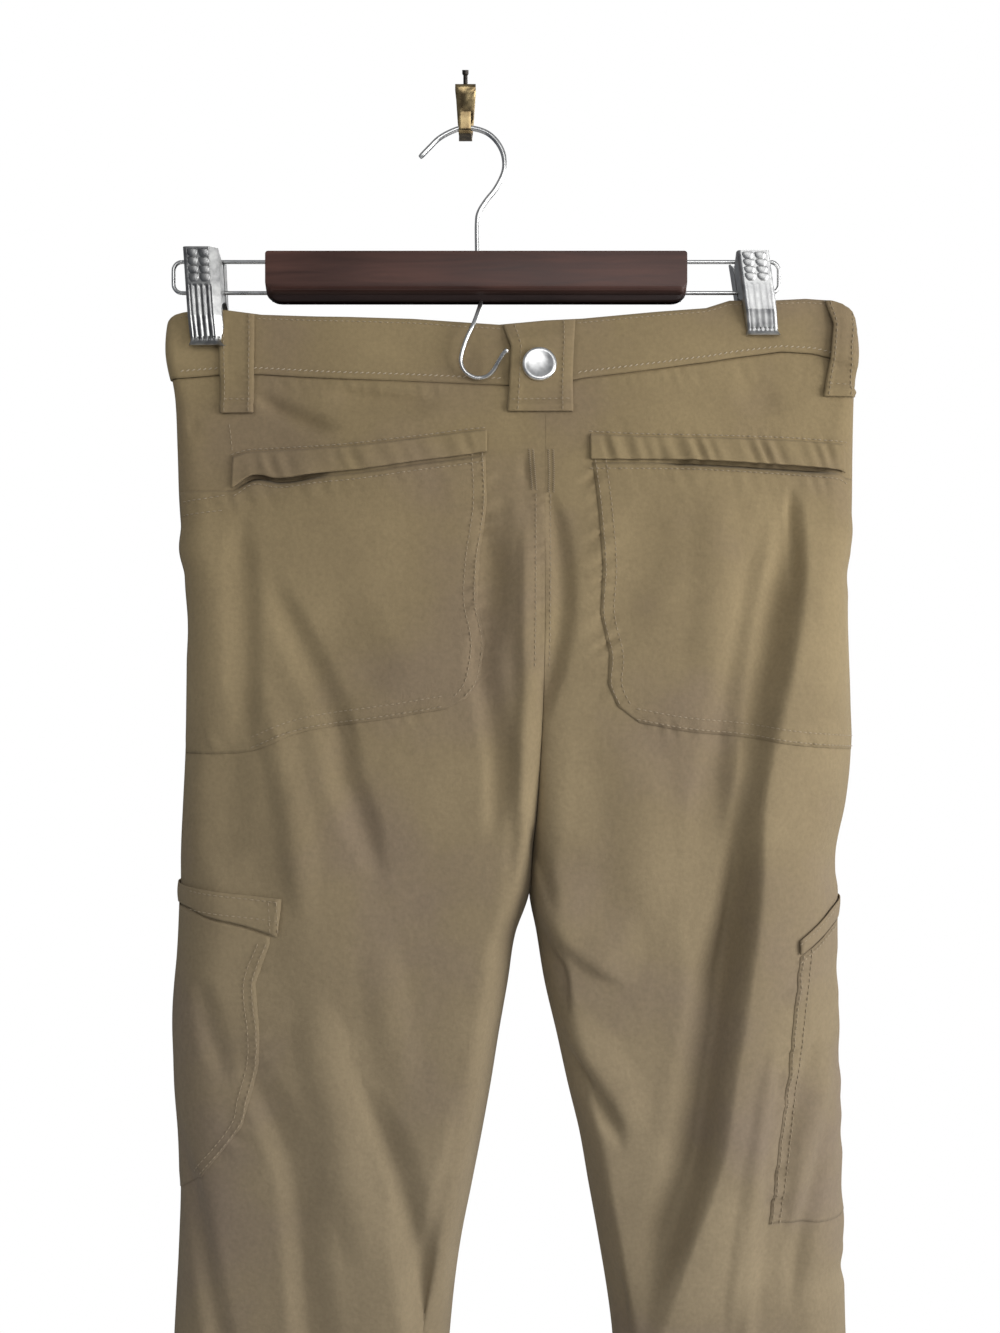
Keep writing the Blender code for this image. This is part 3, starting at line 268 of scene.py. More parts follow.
def smooth_form(side, face, across, z):
    """Outer face of the cloth before its folds. across is 0 at the side seam, 1 at the inner edge."""
    outer, inner = limits(side, z)
    inner = inner + (SEAM_SHUT if side == "left" else -SEAM_SHUT)
    firm = 0.6 if face == "back" else 1.0
    rise = round_in(across * np.abs(inner - outer) / down(z, DEPTH["z"], DEPTH["side_round"]) / firm)
    out = np.interp(-z, *zip(*SEAM_OUT))
    shut = out + (1 - out) * round_in((1 - across) / 0.09)
    edge = down(z, DEPTH["z"], DEPTH[face + "_edge"])
    belly = down(z, DEPTH["z"], DEPTH[face + "_belly"])
    stand = np.maximum((edge * rise + belly * ease(across / 0.6)) * shut, GAP / 2)
    sign = 1 if face == "front" else -1
    y = down(z, DEPTH["z"], DEPTH["middle"]) + sign * stand
    return np.stack((outer + (inner - outer) * across, y, z + 0 * across), -1)


def unit(vectors):
    """The same directions, all of length 1."""
    return vectors / np.maximum(np.linalg.norm(vectors, axis=-1, keepdims=True), 1e-9)


def outward(side, face, across, z):
    """Level unit vector out of the cloth."""
    low = np.clip(across - 0.002, 0, 1)
    high = np.clip(across + 0.002, 0, 1)
    run = smooth_form(side, face, high, z) - smooth_form(side, face, low, z)
    turn = 1 if (side == "left") == (face == "back") else -1
    return unit(np.stack((run[..., 1] * turn, -run[..., 0] * turn, 0 * run[..., 0]), -1))


def soft_line(points, per_span=5):
    """Smooth line through the given points."""
    points = np.asarray(points, float)
    ends = np.vstack((2 * points[0] - points[1], points, 2 * points[-1] - points[-2]))
    t = np.linspace(0, 1, per_span, endpoint=False)[:, None]
    spans = []
    for a, b, c, d in zip(ends, ends[1:], ends[2:], ends[3:]):
        spans.append(0.5 * (2 * b + (c - a) * t + (2 * a - 5 * b + 4 * c - d) * t * t
                            + (3 * b - a - 3 * c + d) * t ** 3))
    return np.vstack(spans + [points[-1:]])


def off_line(path, x, z):
    """Distance off a line, above 0 on its right as it runs down, the way along it, and its length."""
    best = np.full(x.shape, 1e9)
    signed = np.zeros(x.shape)
    along = np.zeros(x.shape)
    done = 0.0
    for (ax, az), (bx, bz) in zip(path, path[1:]):
        dx, dz = bx - ax, bz - az
        length = math.hypot(dx, dz)
        t = np.clip(((x - ax) * dx + (z - az) * dz) / length ** 2, 0, 1)
        ox, oz = x - ax - t * dx, z - az - t * dz
        away = np.hypot(ox, oz)
        near = away < best
        best = np.where(near, away, best)
        signed = np.where(near, away * np.sign(oz * dx - ox * dz), signed)
        along = np.where(near, done + t * length, along)
        done += length
    return signed, along, done


def close_to(path, reach, x, z):
    """Mask of the places within reach of a line's box."""
    return ((x > path[:, 0].min() - reach) & (x < path[:, 0].max() + reach)
            & (z > path[:, 1].min() - reach) & (z < path[:, 1].max() + reach))


def relief(face, x, z, slits=True):
    """Height of folds and puckers over one face, in millimetres out of the cloth."""
    x = x + 0 * z
    z = z + 0 * x
    total = np.zeros(x.shape)
    for height, left, right, sharp, *points in FOLDS[face]:
        path = soft_line(points)
        near = close_to(path, max(left, right), x, z)
        if near.any():
            signed, along, run = off_line(path, x[near], z[near])
            fade = 0.18 * run + 10
            taper = ease(along / fade) * ease((run - along) / fade)
            width = np.where(signed < 0, left, right) * (0.55 + 0.45 * taper)
            r = np.clip(np.abs(signed) / width, 0, 1)
            keen = np.where(signed < 0, *sharp) if isinstance(sharp, tuple) else sharp
            total[near] += height * taper * ((1 - keen) * (1 - r * r) ** 2 + keen * (1 - r) ** 2)
    for height, pitch, reach, phase, *points in PUCKERS[face]:
        path = soft_line(points)
        near = close_to(path, 2.5 * reach, x, z)
        if near.any():
            signed, along, run = off_line(path, x[near], z[near])
            turn = (along + 0.35 * signed) / pitch * 2 * math.pi
            wave = np.sin(turn + phase + 1.1 * np.sin(turn * 0.31 + phase * 3))
            swell = 0.62 + 0.38 * np.sin(turn * 0.23 + phase * 5)
            ends = ease(along / 8) * ease((run - along) / 8)
            total[near] += height * swell * wave * ends * np.exp(-(signed / reach) ** 2)
    if face == "back" and slits:
        for side, points in MOUTHS.items():
            start, end, depth, _ = MOUTH_OPEN[side]
            path = soft_line(points)
            near = close_to(path, 8, x, z)
            if near.any():
                signed, _, _ = off_line(path, x[near], z[near])
                open_here = ease((x[near] - start) / 14) * ease((end - x[near]) / 20)
                r = np.clip(np.abs(signed) / np.where(signed < 0, 4.5, 5.5), 0, 1)
                total[near] -= (0.8 + depth * open_here) * (1 - r * r) ** 2
    return total


def sag(x, z):
    """Faint unevenness of washed cloth."""
    wave = np.sin(x / 23 + z / 61 + 0.6) * np.sin(z / 37 - x / 90) + 0.7 * np.sin(x / 41 - z / 29 + 2.1)
    return 0.45 * wave + 0.22 * np.sin(x / 9.5 + z / 21) * np.sin(z / 13.5 - x / 31)


def on_cloth(side, face, across, z, lift=0.0, slits=True):
    """Places over the folded cloth, and the vectors out of it."""
    z = np.asarray(z, float) + 0 * across
    place = smooth_form(side, face, across, z)
    out = outward(side, face, across, z)
    x = place[..., 0]
    sewn = ease((z - CROTCH_Z + 22) / 30)
    calm = ease(across / 0.05) * (1 - (1 - ease((1 - across) / 0.05)) * (1 - sewn))
    straight = ((1 - ease((1 - across) / 0.14)) * sewn)[..., None]
    push = out * (1 - straight) + np.array((0, 1 if face == "front" else -1, 0)) * straight
    height = (relief(face, x, z, slits) + sag(x, z)) * calm
    return place + unit(push) * height[..., None] + out * np.asarray(lift)[..., None], out


def bare_material(name):
    """New material, its node tree and its shader."""
    material = bpy.data.materials.new(name)
    material.use_nodes = True
    return material, material.node_tree, material.node_tree.nodes["Principled BSDF"]


def feed(tree, fed, inputs):
    """Give a node its inputs, each a value or the output that drives it."""
    for socket, given in inputs.items():
        if isinstance(given, bpy.types.NodeSocket):
            tree.links.new(given, fed.inputs[socket])
        else:
            fed.inputs[socket].default_value = given


def node(tree, kind, inputs, **settings):
    """New node with its inputs and settings, given back as its outputs."""
    made = tree.nodes.new("ShaderNode" + kind)
    for setting, value in settings.items():
        setattr(made, setting, value)
    feed(tree, made, inputs)
    return made.outputs


def ramp(tree, fac, *stops):
    """Colours that follow a value, each stop its place and its colour."""
    made = tree.nodes.new("ShaderNodeValToRGB")
    elements = made.color_ramp.elements
    for _ in stops[2:]:
        elements.new(0.5)
    for element, (place, colour) in zip(elements, stops):
        element.position = place
        element.color = (*colour, 1)
    tree.links.new(fac, made.inputs["Fac"])
    return made.outputs["Color"]


def mix(tree, fac, one, two, blend="MIX"):
    """Two colours put together."""
    return node(tree, "MixRGB", {"Fac": fac, "Color1": one, "Color2": two}, blend_type=blend)["Color"]


def bump(tree, strength, distance, height, **under):
    """Normal of a fine relief, over another one where it is given."""
    given = {"Strength": strength, "Distance": distance, "Height": height, **under}
    return node(tree, "Bump", given)["Normal"]


def noise(tree, place, scale, detail=2.0, **more):
    """Cloudy value of a given grain."""
    return node(tree, "TexNoise", {"Vector": place, "Scale": scale, "Detail": detail, **more})["Fac"]


khaki = {"light": (0.300, 0.229, 0.128), "middle": (0.262, 0.199, 0.112), "brown": (0.240, 0.180, 0.114),
         "thread": (0.37, 0.29, 0.185), "pale_thread": (0.50, 0.41, 0.29)}


def twill(name, stiff=1.0):
    """Khaki twill: uneven dye, a fine diagonal weave, a soft crumple and a dull sheen."""
    material, tree, shader = bare_material(name)
    place = node(tree, "TexCoord", {})
    dyed = ramp(tree, noise(tree, place["Object"], 11.0, 3.0),
                (0.34, khaki["brown"]), (0.5, khaki["middle"]), (0.66, khaki["light"]))
    linted = mix(tree, 0.16, dyed, noise(tree, place["Object"], 420.0, 4.0), "OVERLAY")
    # Down the legs the colour turns greyer and bluer and a touch darker: the darkening is painted shade,
    # for the light that falls off toward the hems.
    level = node(tree, "SeparateXYZ", {"Vector": place["Object"]})["Z"]
    height_share = node(tree, "MapRange", {"Value": level, "From Min": -0.60, "From Max": -0.20})["Result"]
    height_tint_and_shade = mix(tree, height_share, (0.96, 0.99, 1.10, 1), (1.0, 0.99, 0.93, 1))
    ribs = node(tree, "TexWave", {"Vector": place["UV"], "Scale": 700.0, "Distortion": 0.6},
                bands_direction="DIAGONAL")["Fac"]
    threads = node(tree, "TexWave", {"Vector": place["UV"], "Scale": 760.0, "Distortion": 1.2,
                                     "Detail": 2.0})["Fac"]
    weave = node(tree, "Math", {0: ribs, 1: 0.6, 2: threads}, operation="MULTIPLY_ADD")["Value"]
    crumple = noise(tree, place["Object"], 85.0, 5.0, Roughness=0.6)
    feed(tree, shader, {
        "Base Color": mix(tree, 1.0, linted, height_tint_and_shade, "MULTIPLY"),
        "Normal": bump(tree, 0.5 * stiff, 0.0016, crumple, Normal=bump(tree, 0.35, 0.00025, weave)),
        "Roughness": 0.86, "Specular IOR Level": 0.22, "Sheen Weight": 0.12, "Sheen Roughness": 0.45,
        "Sheen Tint": (0.9, 0.82, 0.68, 1)})
    return material


cloth = twill("khaki_twill")
seam_cloth = twill("khaki_twill_doubled", 0.6)


# ---- Leg panels ------------------------------------------------------------------------------
# Four panels of the twill, each cut from waist to hem and sewn along the side seam, the inseam
# and the centre seam. The back pair carries the deep folds, the front pair hangs flatter.
HEM_Z = -1235.0
SIDE_TURN = 0.22
INNER_TURN = 0.26
ROWS_TOP = -160
THIGH_FOOT = -720
PANEL_CUTS = {"back_left": (0.30, 1.08, 0.222), "back_right": (0.27, 1.09, 0.205),
              "front_left": (0.26, 1.08, 0.205), "front_right": (0.24, 1.09, 0.190)}
WAIST = {
    # heights of the band's top edge and of its seam, from the side seam at 0 to the middle at 1
    "back": {
        "across": (0.0, 0.004, 0.012, 0.022, 0.04, 0.07, 0.15, 0.25, 0.40, 0.48, 0.65, 0.88, 1.0),
        "left_top": (-131, -129.3, -127.4, -126, -124.9, -124, -123.5, -126.5, -127.8, -128.2, -129.5,
                     -133, -130.5),
        "left_seam": (-163.5, -163.4, -163.3, -163.2, -163, -162.5, -161.2, -161.5, -164, -165, -166.5,
                      -168.5, -170),
        "right_top": (-134, -129.5, -125.2, -122.2, -119.7, -117.9, -117, -118, -118.5, -123, -125.5,
                      -129.5, -130.5),
        "right_seam": (-156, -155.7, -155.2, -154.6, -153.5, -152.3, -149, -148, -152, -154.5, -159,
                       -164.5, -169),
    },
    "front": {
        "across": (0.0, 0.012, 0.04, 0.15, 0.30, 0.60, 1.0),
        "left_top": (-131, -127.4, -125.2, -125, -127, -133, -138),
        "left_seam": (-163.5, -163.5, -163.5, -163.5, -166, -172, -177),
        "right_top": (-134, -125.2, -119.8, -118, -120, -130, -138),
        "right_seam": (-156, -155.4, -154, -153, -156, -168, -177),
    },
}


def waist_edge(face, side, edge, across):
    """Height of the waistband's top or of its seam."""
    return np.interp(across, WAIST[face]["across"], WAIST[face][f"{side}_{edge}"])


def panel_columns(side_steps, flat_steps, inner_steps):
    """Columns across a panel, close together where the cloth turns round the leg."""
    side = SIDE_TURN * (1 - np.cos(np.linspace(0, math.pi / 2, side_steps, endpoint=False)))
    inner = 1 - INNER_TURN * (1 - np.cos(np.linspace(math.pi / 2, 0, inner_steps)))
    flat = np.linspace(SIDE_TURN, 1 - INNER_TURN, flat_steps, endpoint=False)
    return np.concatenate((side, flat, inner))


def panel_rows(face, side, columns, fine, coarse):
    """Heights of a panel's rows, which start along the waistband's seam and soon run level."""
    seam = waist_edge(face, side, "seam", columns) - GAP / 2
    level = np.concatenate((np.linspace(ROWS_TOP, THIGH_FOOT, fine),
                            np.linspace(THIGH_FOOT, HEM_Z, coarse + 1)[1:]))
    share = np.clip(1 - (ROWS_TOP - level) / 110, 0, 1)
    return level[None, :] + (seam[:, None] - ROWS_TOP) * share[None, :]


def alone(piece):
    """Leave one piece selected and active, for the operators that follow."""
    bpy.ops.object.select_all(action="DESELECT")
    piece.select_set(True)
    bpy.context.view_layer.objects.active = piece


def new_piece(name, data, material):
    """Piece on its own mesh or curve, alone in the selection."""
    data.materials.append(material)
    piece = bpy.data.objects.new(name, data)
    bpy.context.scene.collection.objects.link(piece)
    alone(piece)
    return piece


def finish_with(piece, kind, **settings):
    """Put a modifier on the active piece and apply it."""
    added = piece.modifiers.new(kind, kind)
    for setting, value in settings.items():
        setattr(added, setting, value)
    bpy.ops.object.modifier_apply(modifier=added.name)


def cloth_piece(name, grid, out, wall, material, ring=False):
    """Sewn piece from a grid of places, its thickness laid inwards, with the weave's own map."""
    wide, tall = grid.shape[:2]
    index = np.arange(wide * tall).reshape(wide, tall)
    if ring:
        index = np.vstack((index, index[:1]))
    quads = np.stack((index[:-1, :-1], index[1:, :-1], index[1:, 1:], index[:-1, 1:]), -1).reshape(-1, 4)
    flat = grid.reshape(-1, 3)
    a, b, c = (flat[quads[:, k]] for k in (0, 1, 2))
    if (np.cross(b - a, c - a) * out.reshape(-1, 3)[quads[:, 0]]).sum() < 0:
        quads = quads[:, ::-1]
    steps = np.linalg.norm(np.diff(grid, axis=0), axis=-1)
    u = np.vstack((np.zeros((1, tall)), np.cumsum(steps, axis=0))) * MM
    v = -grid[..., 2] * MM
    mesh = bpy.data.meshes.new(name)
    mesh.from_pydata((flat * MM).tolist(), [], quads.tolist())
    weave = mesh.uv_layers.new(name="weave")
    corner = np.zeros(len(mesh.loops), np.int32)
    mesh.loops.foreach_get("vertex_index", corner)
    weave.data.foreach_set("uv", np.stack((u.ravel()[corner], v.ravel()[corner]), -1).ravel())
    mesh.shade_smooth()
    piece = new_piece(name, mesh, material)
    finish_with(piece, "SOLIDIFY", thickness=wall * MM, offset=-1)
    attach(piece, "root")
    return piece


for panel, (cut_width, cut_length, cut_area) in PANEL_CUTS.items():
    panel_face, panel_side = panel.split("_")
    columns = panel_columns(20, 48, 26) if panel_face == "back" else panel_columns(16, 26, 16)
    rows = panel_rows(panel_face, panel_side, columns, 300 if panel_face == "back" else 170, 90)
    grid, out = on_cloth(panel_side, panel_face, columns[:, None] + 0 * rows, rows)
    piece = cloth_piece("leg_panel_" + panel, grid, out, 1.0, cloth)
    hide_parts(f"panel_{panel}")


# ---- Topstitching ----------------------------------------------------------------------------
# Polyester thread a shade lighter than the cloth, about three stitches to the centimetre. Each
# stitch is a bead of thread that dives into the cloth at both ends.
BEAD_SIDES = 5
BEAD_RINGS = 4


def turn_outwards():
    """Turn the active piece's faces outwards."""
    bpy.ops.object.mode_set(mode="EDIT")
    bpy.ops.mesh.select_all(action="SELECT")
    bpy.ops.mesh.normals_make_consistent(inside=False)
    bpy.ops.object.mode_set(mode="OBJECT")


def run_along(path):
    """Length along a line at each of its points."""
    return np.concatenate(((0,), np.cumsum(np.linalg.norm(np.diff(path, axis=0), axis=-1))))


def beads(name, rows, material, length=2.3, space=0.9, thick=0.5, lean=0.0):
    """Rows of stitches, each row the places and outward vectors along its line."""
    shares = np.array((-0.5, -0.24, 0.24, 0.5))
    girths = (np.array((0.25, 1.0, 1.0, 0.25)) * thick / 2)[:, None]
    rises = np.array((-0.16, 0.12, 0.12, -0.16))
    turns = np.arange(BEAD_SIDES) * 2 * math.pi / BEAD_SIDES
    bead = []
    for k in range(0, (BEAD_RINGS - 1) * BEAD_SIDES, BEAD_SIDES):
        for m in range(BEAD_SIDES):
            n = (m + 1) % BEAD_SIDES
            bead.append((k + m, k + n, k + BEAD_SIDES + n, k + BEAD_SIDES + m))
    bead += [(4, 3, 2, 1, 0), (15, 16, 17, 18, 19)]
    verts = []
    faces = []
    for places, outs in rows:
        way = run_along(places)
        count = int(way[-1] // (length + space))
        if count < 1:
            continue
        centres = (np.arange(count) + 0.5) * way[-1] / count
        at = centres[:, None] + shares[None, :] * length
        spot = np.stack([np.interp(at, way, places[:, k]) for k in range(3)], -1)
        up = unit(np.stack([np.interp(at, way, outs[:, k]) for k in range(3)], -1))
        ahead = unit(spot[:, -1:] - spot[:, :1])
        across = unit(np.cross(up, np.broadcast_to(ahead, up.shape)))
        spot = spot + across * (shares * lean)[None, :, None] + up * rises[None, :, None]
        ring = (spot[:, :, None, :] + across[:, :, None, :] * (girths * np.cos(turns))[None, :, :, None]
                + up[:, :, None, :] * (girths * np.sin(turns))[None, :, :, None])
        corners_each = len(shares) * BEAD_SIDES
        for first in range(len(verts), len(verts) + count * corners_each, corners_each):
            faces.extend(tuple(first + corner for corner in face) for face in bead)
        verts.extend(ring.reshape(-1, 3).tolist())
    mesh = bpy.data.meshes.new(name)
    mesh.from_pydata((np.array(verts) * MM).tolist(), [], faces)
    mesh.shade_smooth()
    piece = new_piece(name, mesh, material)
    turn_outwards()
    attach(piece, "root")


def across_at(side, x, z):
    """How far across its panel a place lies, from its X and Z."""
    outer, inner = limits(side, np.asarray(z, float))
    return np.clip((x - outer) / (inner - outer), 0.0, 1.0)


def cloth_line(side, points, lift, slits=True):
    """Dense places along a line drawn on the back of the cloth, for a row of stitches."""
    path = soft_line(points, 6)
    way = run_along(path)
    at = np.arange(0, way[-1], 1.2)
    x = np.interp(at, way, path[:, 0])
    z = np.interp(at, way, path[:, 1])
    return on_cloth(side, "back", across_at(side, x, z), z, lift, slits)


def sewing_thread(name, colour):
    """Spun thread with a twisted lay."""
    material, tree, shader = bare_material(name)
    lay = noise(tree, node(tree, "TexCoord", {})["Object"], 900.0)
    feed(tree, shader, {"Base Color": mix(tree, lay, (*(c * 0.78 for c in colour), 1), (*colour, 1)),
                        "Normal": bump(tree, 0.4, 0.0001, lay), "Roughness": 0.6, "Sheen Weight": 0.2})
    return material


thread = sewing_thread("khaki_thread", khaki["thread"])
pale_thread = sewing_thread("pale_khaki_thread", khaki["pale_thread"])
centre_rows = []
for shift, centre_side in ((-5.0, "left"), (3.4, "right")):
    line = ((45.2 + shift, -232), (44.9 + shift, -262), (44.6 + shift, -300), (44 + shift, -330))
    centre_rows.append(cloth_line(centre_side, line, 0.1))
beads("stitches_centre_seam", centre_rows, thread)
tack_rows = [cloth_line("left", ((x - 0.9, -206.5), (x, -219), (x + 0.9, -231.5)), 0.25)
             for x in (37.4, 39.6)]
tack_rows += [cloth_line("right", ((x, -206.5), (x + 0.3, -219), (x, -232.5)), 0.25) for x in (47.6, 50.2)]
beads("bar_tacks", tack_rows, thread, 1.0, 0.2, 0.65, 1.1)


# ---- Seat patches and back pockets -----------------------------------------------------------
# Second layer of twill over each half of the seat, double-stitched at its inner edge and foot,
# with a welt pocket set in along its top. The open part of each mouth gapes under the welt.
PATCH_SIDE = 0.012
PATCHES = {
    "left": {"inner": ((-208, 12), (-238, 13), (-268, 9), (-293, 8), (-315, 12), (-336, 9), (-346, 2),
                       (-352, -10)),
             "foot": ((-158, -377), (-116, -375), (-86, -364), (-40, -357), (-10, -352), (14, -352))},
    "right": {"inner": ((-212, 72), (-240, 75), (-273, 77), (-299, 75.5), (-322, 80), (-338, 79),
                        (-350, 84), (-360, 97)),
              "foot": ((72, -358), (94, -359), (122, -364), (153, -367), (177, -371), (218, -375))},
}
WELTS = {
    # line of each welt's top, and the X of its two ends
    "left": (((-133, -210.5), (-122.8, -207.6), (-110.5, -207), (-69.6, -205.3), (-35.9, -201.8),
              (-1.7, -197.1), (13, -195.5)), -131.0, 13.0),
    "right": (((70, -197.7), (104, -199.4), (147, -200), (184, -200.6), (219, -202.4)), 71.0, 215.5),
}


def level_at(points, x):
    """Height of a line that runs from left to right."""
    path = soft_line(points)
    return np.interp(x, path[:, 0], path[:, 1])


def shifted(points, dx, dz):
    """Line moved sideways and up."""
    return [(x + dx, z + dz) for x, z in points]


def x_at(side, across, z):
    """X of a place from how far across its panel it lies."""
    outer, inner = limits(side, z)
    return outer + (inner - outer) * across


def grid_shares(wide, tall):
    """Shares from 0 to 1 across and down a piece's grid."""
    return np.linspace(0, 1, wide)[:, None], np.linspace(0, 1, tall)[None, :]


patch_rows = []
for side, patch in PATCHES.items():
    u, v = grid_shares(74, 72)
    heights, edges = zip(*patch["inner"])
    z = -212 - 150 * v + 0 * u
    for _ in range(4):
        start = np.interp(-z, [-height for height in heights], edges)
        stop = x_at(side, PATCH_SIDE, z)
        x = start + (stop - start) * (0.5 * u + 0.5 * np.sin(u * math.pi / 2))
        top = level_at(MOUTHS[side], x) - 1.0
        z = top + (level_at(patch["foot"], x) - top) * v
    rise = 0.38 + 0.3 * ease(u / 0.05) * ease((1 - v) / 0.06)
    grid, out = on_cloth(side, "back", across_at(side, x, z), z, rise)
    piece = cloth_piece("seat_patch_cloth_" + side, grid, out, 0.3, cloth)
    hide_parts(f"seat_patch_{side}")
    turn = 1 if side == "left" else -1
    foot = patch["foot"][1:-1] if side == "left" else patch["foot"][1:]
    for inset in (1.8, 7.6):
        inner_line = [(x_in, z_in) for z_in, x_in in patch["inner"][:-1]]
        patch_rows.append(cloth_line(side, shifted(inner_line, -turn * inset, 0), 0.7))
        patch_rows.append(cloth_line(side, shifted(foot, 0, inset), 0.7))
for drop in (0.0, 8.0):
    line = ((-159, -235.5 - drop), (-146, -234 - drop), (-134, -232 - 1.1 * drop))
    patch_rows.append(cloth_line("left", line, 0.85))
patch_rows.append(cloth_line("left", ((-134, -190), (-132.5, -199), (-131.5, -207)), 0.1))
beads("stitches_seat_patches", patch_rows, thread)

welt_rows = []
for side, (top_line, first_x, last_x) in WELTS.items():
    start, stop, _, gape = MOUTH_OPEN[side]
    u, v = grid_shares(120, 12)
    x = first_x + (last_x - first_x) * u
    top = level_at(top_line, x)
    z = top + (level_at(MOUTHS[side], x) + 0.9 - top) * v
    open_here = ease((x - start) / 14) * ease((stop - x) / 22)
    roll = 1.3 + 0.4 * np.sin(v * math.pi) + gape * open_here * v ** 2
    grid, out = on_cloth(side, "back", across_at(side, x + 0 * z, z), z, roll, False)
    piece = cloth_piece("pocket_welt_" + side, grid, out, 0.8, seam_cloth)
    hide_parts(f"back_welt_{side}")
    welt_rows.append(cloth_line(side, shifted(top_line, 0, 1.6), 0.15, False))
    welt_rows.append(cloth_line(side, shifted(MOUTHS[side], 0, -4.6), 0.75, False))
beads("stitches_back_pockets", welt_rows, thread)


# ---- Cargo pockets ---------------------------------------------------------------------------
# A bellows-free patch pocket wraps each side seam at the thigh: one layer of twill, double
# stitched at its back edge, shut at the top by a stitched welt with an end tab.
FRONT_REACH = 0.27
CARGOES = {
    "left": {"edge": ((-478, -104), (-500, -112), (-527, -109.5), (-543, -110), (-563, -115),
                      (-577, -119), (-606, -142)),
             "top": ((-166, -461), (-150, -462), (-138, -466), (-119, -470), (-106, -474), (-96, -477)),
             "welt_top": ((-166, -449), (-149, -449.5), (-126, -451.5), (-98, -454)),
             "tab": -98.0, "foot": -607.0, "drop": 16.0, "welt_length": 0.118},
    "right": {"edge": ((-474, 181), (-486, 181), (-507, 178.8), (-536, 176), (-573, 172),
                       (-594, 169), (-630, 164)),
              "top": ((180, -486), (184, -483), (196, -476.5), (209, -469), (222, -463)),
              "welt_top": ((180, -476.5), (187, -471.6), (196, -466), (205.6, -460.2), (222, -452)),
              "tab": 180.5, "foot": -628.0, "drop": 4.0, "welt_length": 0.066},
}


def round_the_side(edge_across, u):
    """Shares across the leg: below 0 on the back, above 0 on the front, from the back edge on."""
    root = np.sqrt(edge_across)
    bend = -root + (root + math.sqrt(FRONT_REACH)) * u
    return bend * np.abs(bend)


def wrapped(side, signed, z, lift):
    """Places of a piece that wraps the side seam."""
    back, back_out = on_cloth(side, "back", np.abs(signed), z, lift)
    front, front_out = on_cloth(side, "front", np.abs(signed), z, lift)
    on_front = (signed > 0)[..., None]
    return np.where(on_front, front, back), np.where(on_front, front_out, back_out)


cargo_rows = []
for side, cargo in CARGOES.items():
    u, v = grid_shares(72, 80)
    heights, edges = zip(*cargo["edge"])
    z = -475 - 130 * v + 0 * u
    for _ in range(4):
        edge_across = across_at(side, np.interp(-z, [-height for height in heights], edges), z)
        signed = round_the_side(edge_across, u)
        at = np.where(signed > 0, x_at(side, 0, z), x_at(side, np.abs(signed), z))
        top = level_at(cargo["top"], at)
        foot = cargo["foot"] - cargo["drop"] * ease((signed + edge_across) / (edge_across + 0.04))
        z = top + (foot - top) * v
    rise = 0.35 + 0.5 * ease(u / 0.10) * ease((1 - u) / 0.05) * ease((1 - v) / 0.06)
    grid, out = wrapped(side, signed, z, rise)
    piece = cloth_piece("cargo_pocket_cloth_" + side, grid, out, 0.3, cloth)
    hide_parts(f"cargo_pocket_{side}")
    back_line = [(x_edge, z_edge) for z_edge, x_edge in cargo["edge"]]
    turn = 1 if side == "left" else -1
    for inset in (1.8, 6.4):
        cargo_rows.append(cloth_line(side, shifted(back_line, -turn * inset, 0), 0.85))

    v = grid_shares(72, 14)[1]
    signed = round_the_side(across_at(side, np.array(cargo["tab"]), np.array(-462.0)), u)
    z = -450 - 16 * v + 0 * u
    for _ in range(3):
        at = np.where(signed > 0, x_at(side, 0, z), x_at(side, np.abs(signed), z))
        top = level_at(cargo["welt_top"], at)
        z = top + (level_at(cargo["top"], at) + 1.5 - top) * v
    grid, out = wrapped(side, signed, z, 1.5 + 0.5 * np.sin(v * math.pi) + 0 * u)
    piece = cloth_piece("cargo_welt_cloth_" + side, grid, out, 0.7, seam_cloth)
    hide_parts(f"cargo_welt_{side}")
    welt_line = cargo["welt_top"][1:] if side == "left" else cargo["welt_top"][:-1]
    for drop in (2.0, 12.0):
        cargo_rows.append(cloth_line(side, shifted(welt_line, 0, -drop), 1.8))
tab_line = ((-98, -455), (-97.5, -464), (-97, -473))
for inset in (2.0, 6.5):
    cargo_rows.append(cloth_line("left", shifted(tab_line, -inset, 0), 1.8))
beads("stitches_cargo_pockets", cargo_rows, thread)


# ---- Waistband -------------------------------------------------------------------------------
# Folded strip of twill with interlining, sewn over the panels' top edges and closed by a button
# at the front, where its end laps over the other half.
BAND_OUT = 1.0
BAND_WALL = 2.2
LAP_OUT = BAND_WALL + GAP + 0.3


def stiff_cloth(side, face, across, z, follow, lift):
    """Places over a stiffer piece, which follows only a part of the folds under it."""
    place, out = on_cloth(side, face, across, z, 0.0, False)
    calm = smooth_form(side, face, across, z)
    return calm + (place - calm) * follow + out * np.asarray(lift)[..., None], out


def band(side, face, across, share, lift):
    """Places over the waistband, share 0 at its top edge and 1 at its lower seam."""
    top = waist_edge(face, side, "top", across)
    seam = waist_edge(face, side, "seam", across) + GAP / 2
    return stiff_cloth(side, face, across, top + (seam - top) * share, 0.55, lift)


def lap_at(across):
    """How far the left end of the band stands out over the right one."""
    return LAP_OUT * ease((across - 0.65) / 0.35)


def sewn_strip(strips):
    """Grid and outward vectors of a piece made strip by strip."""
    grid, out = zip(*strips)
    return np.array(grid), np.array(out)


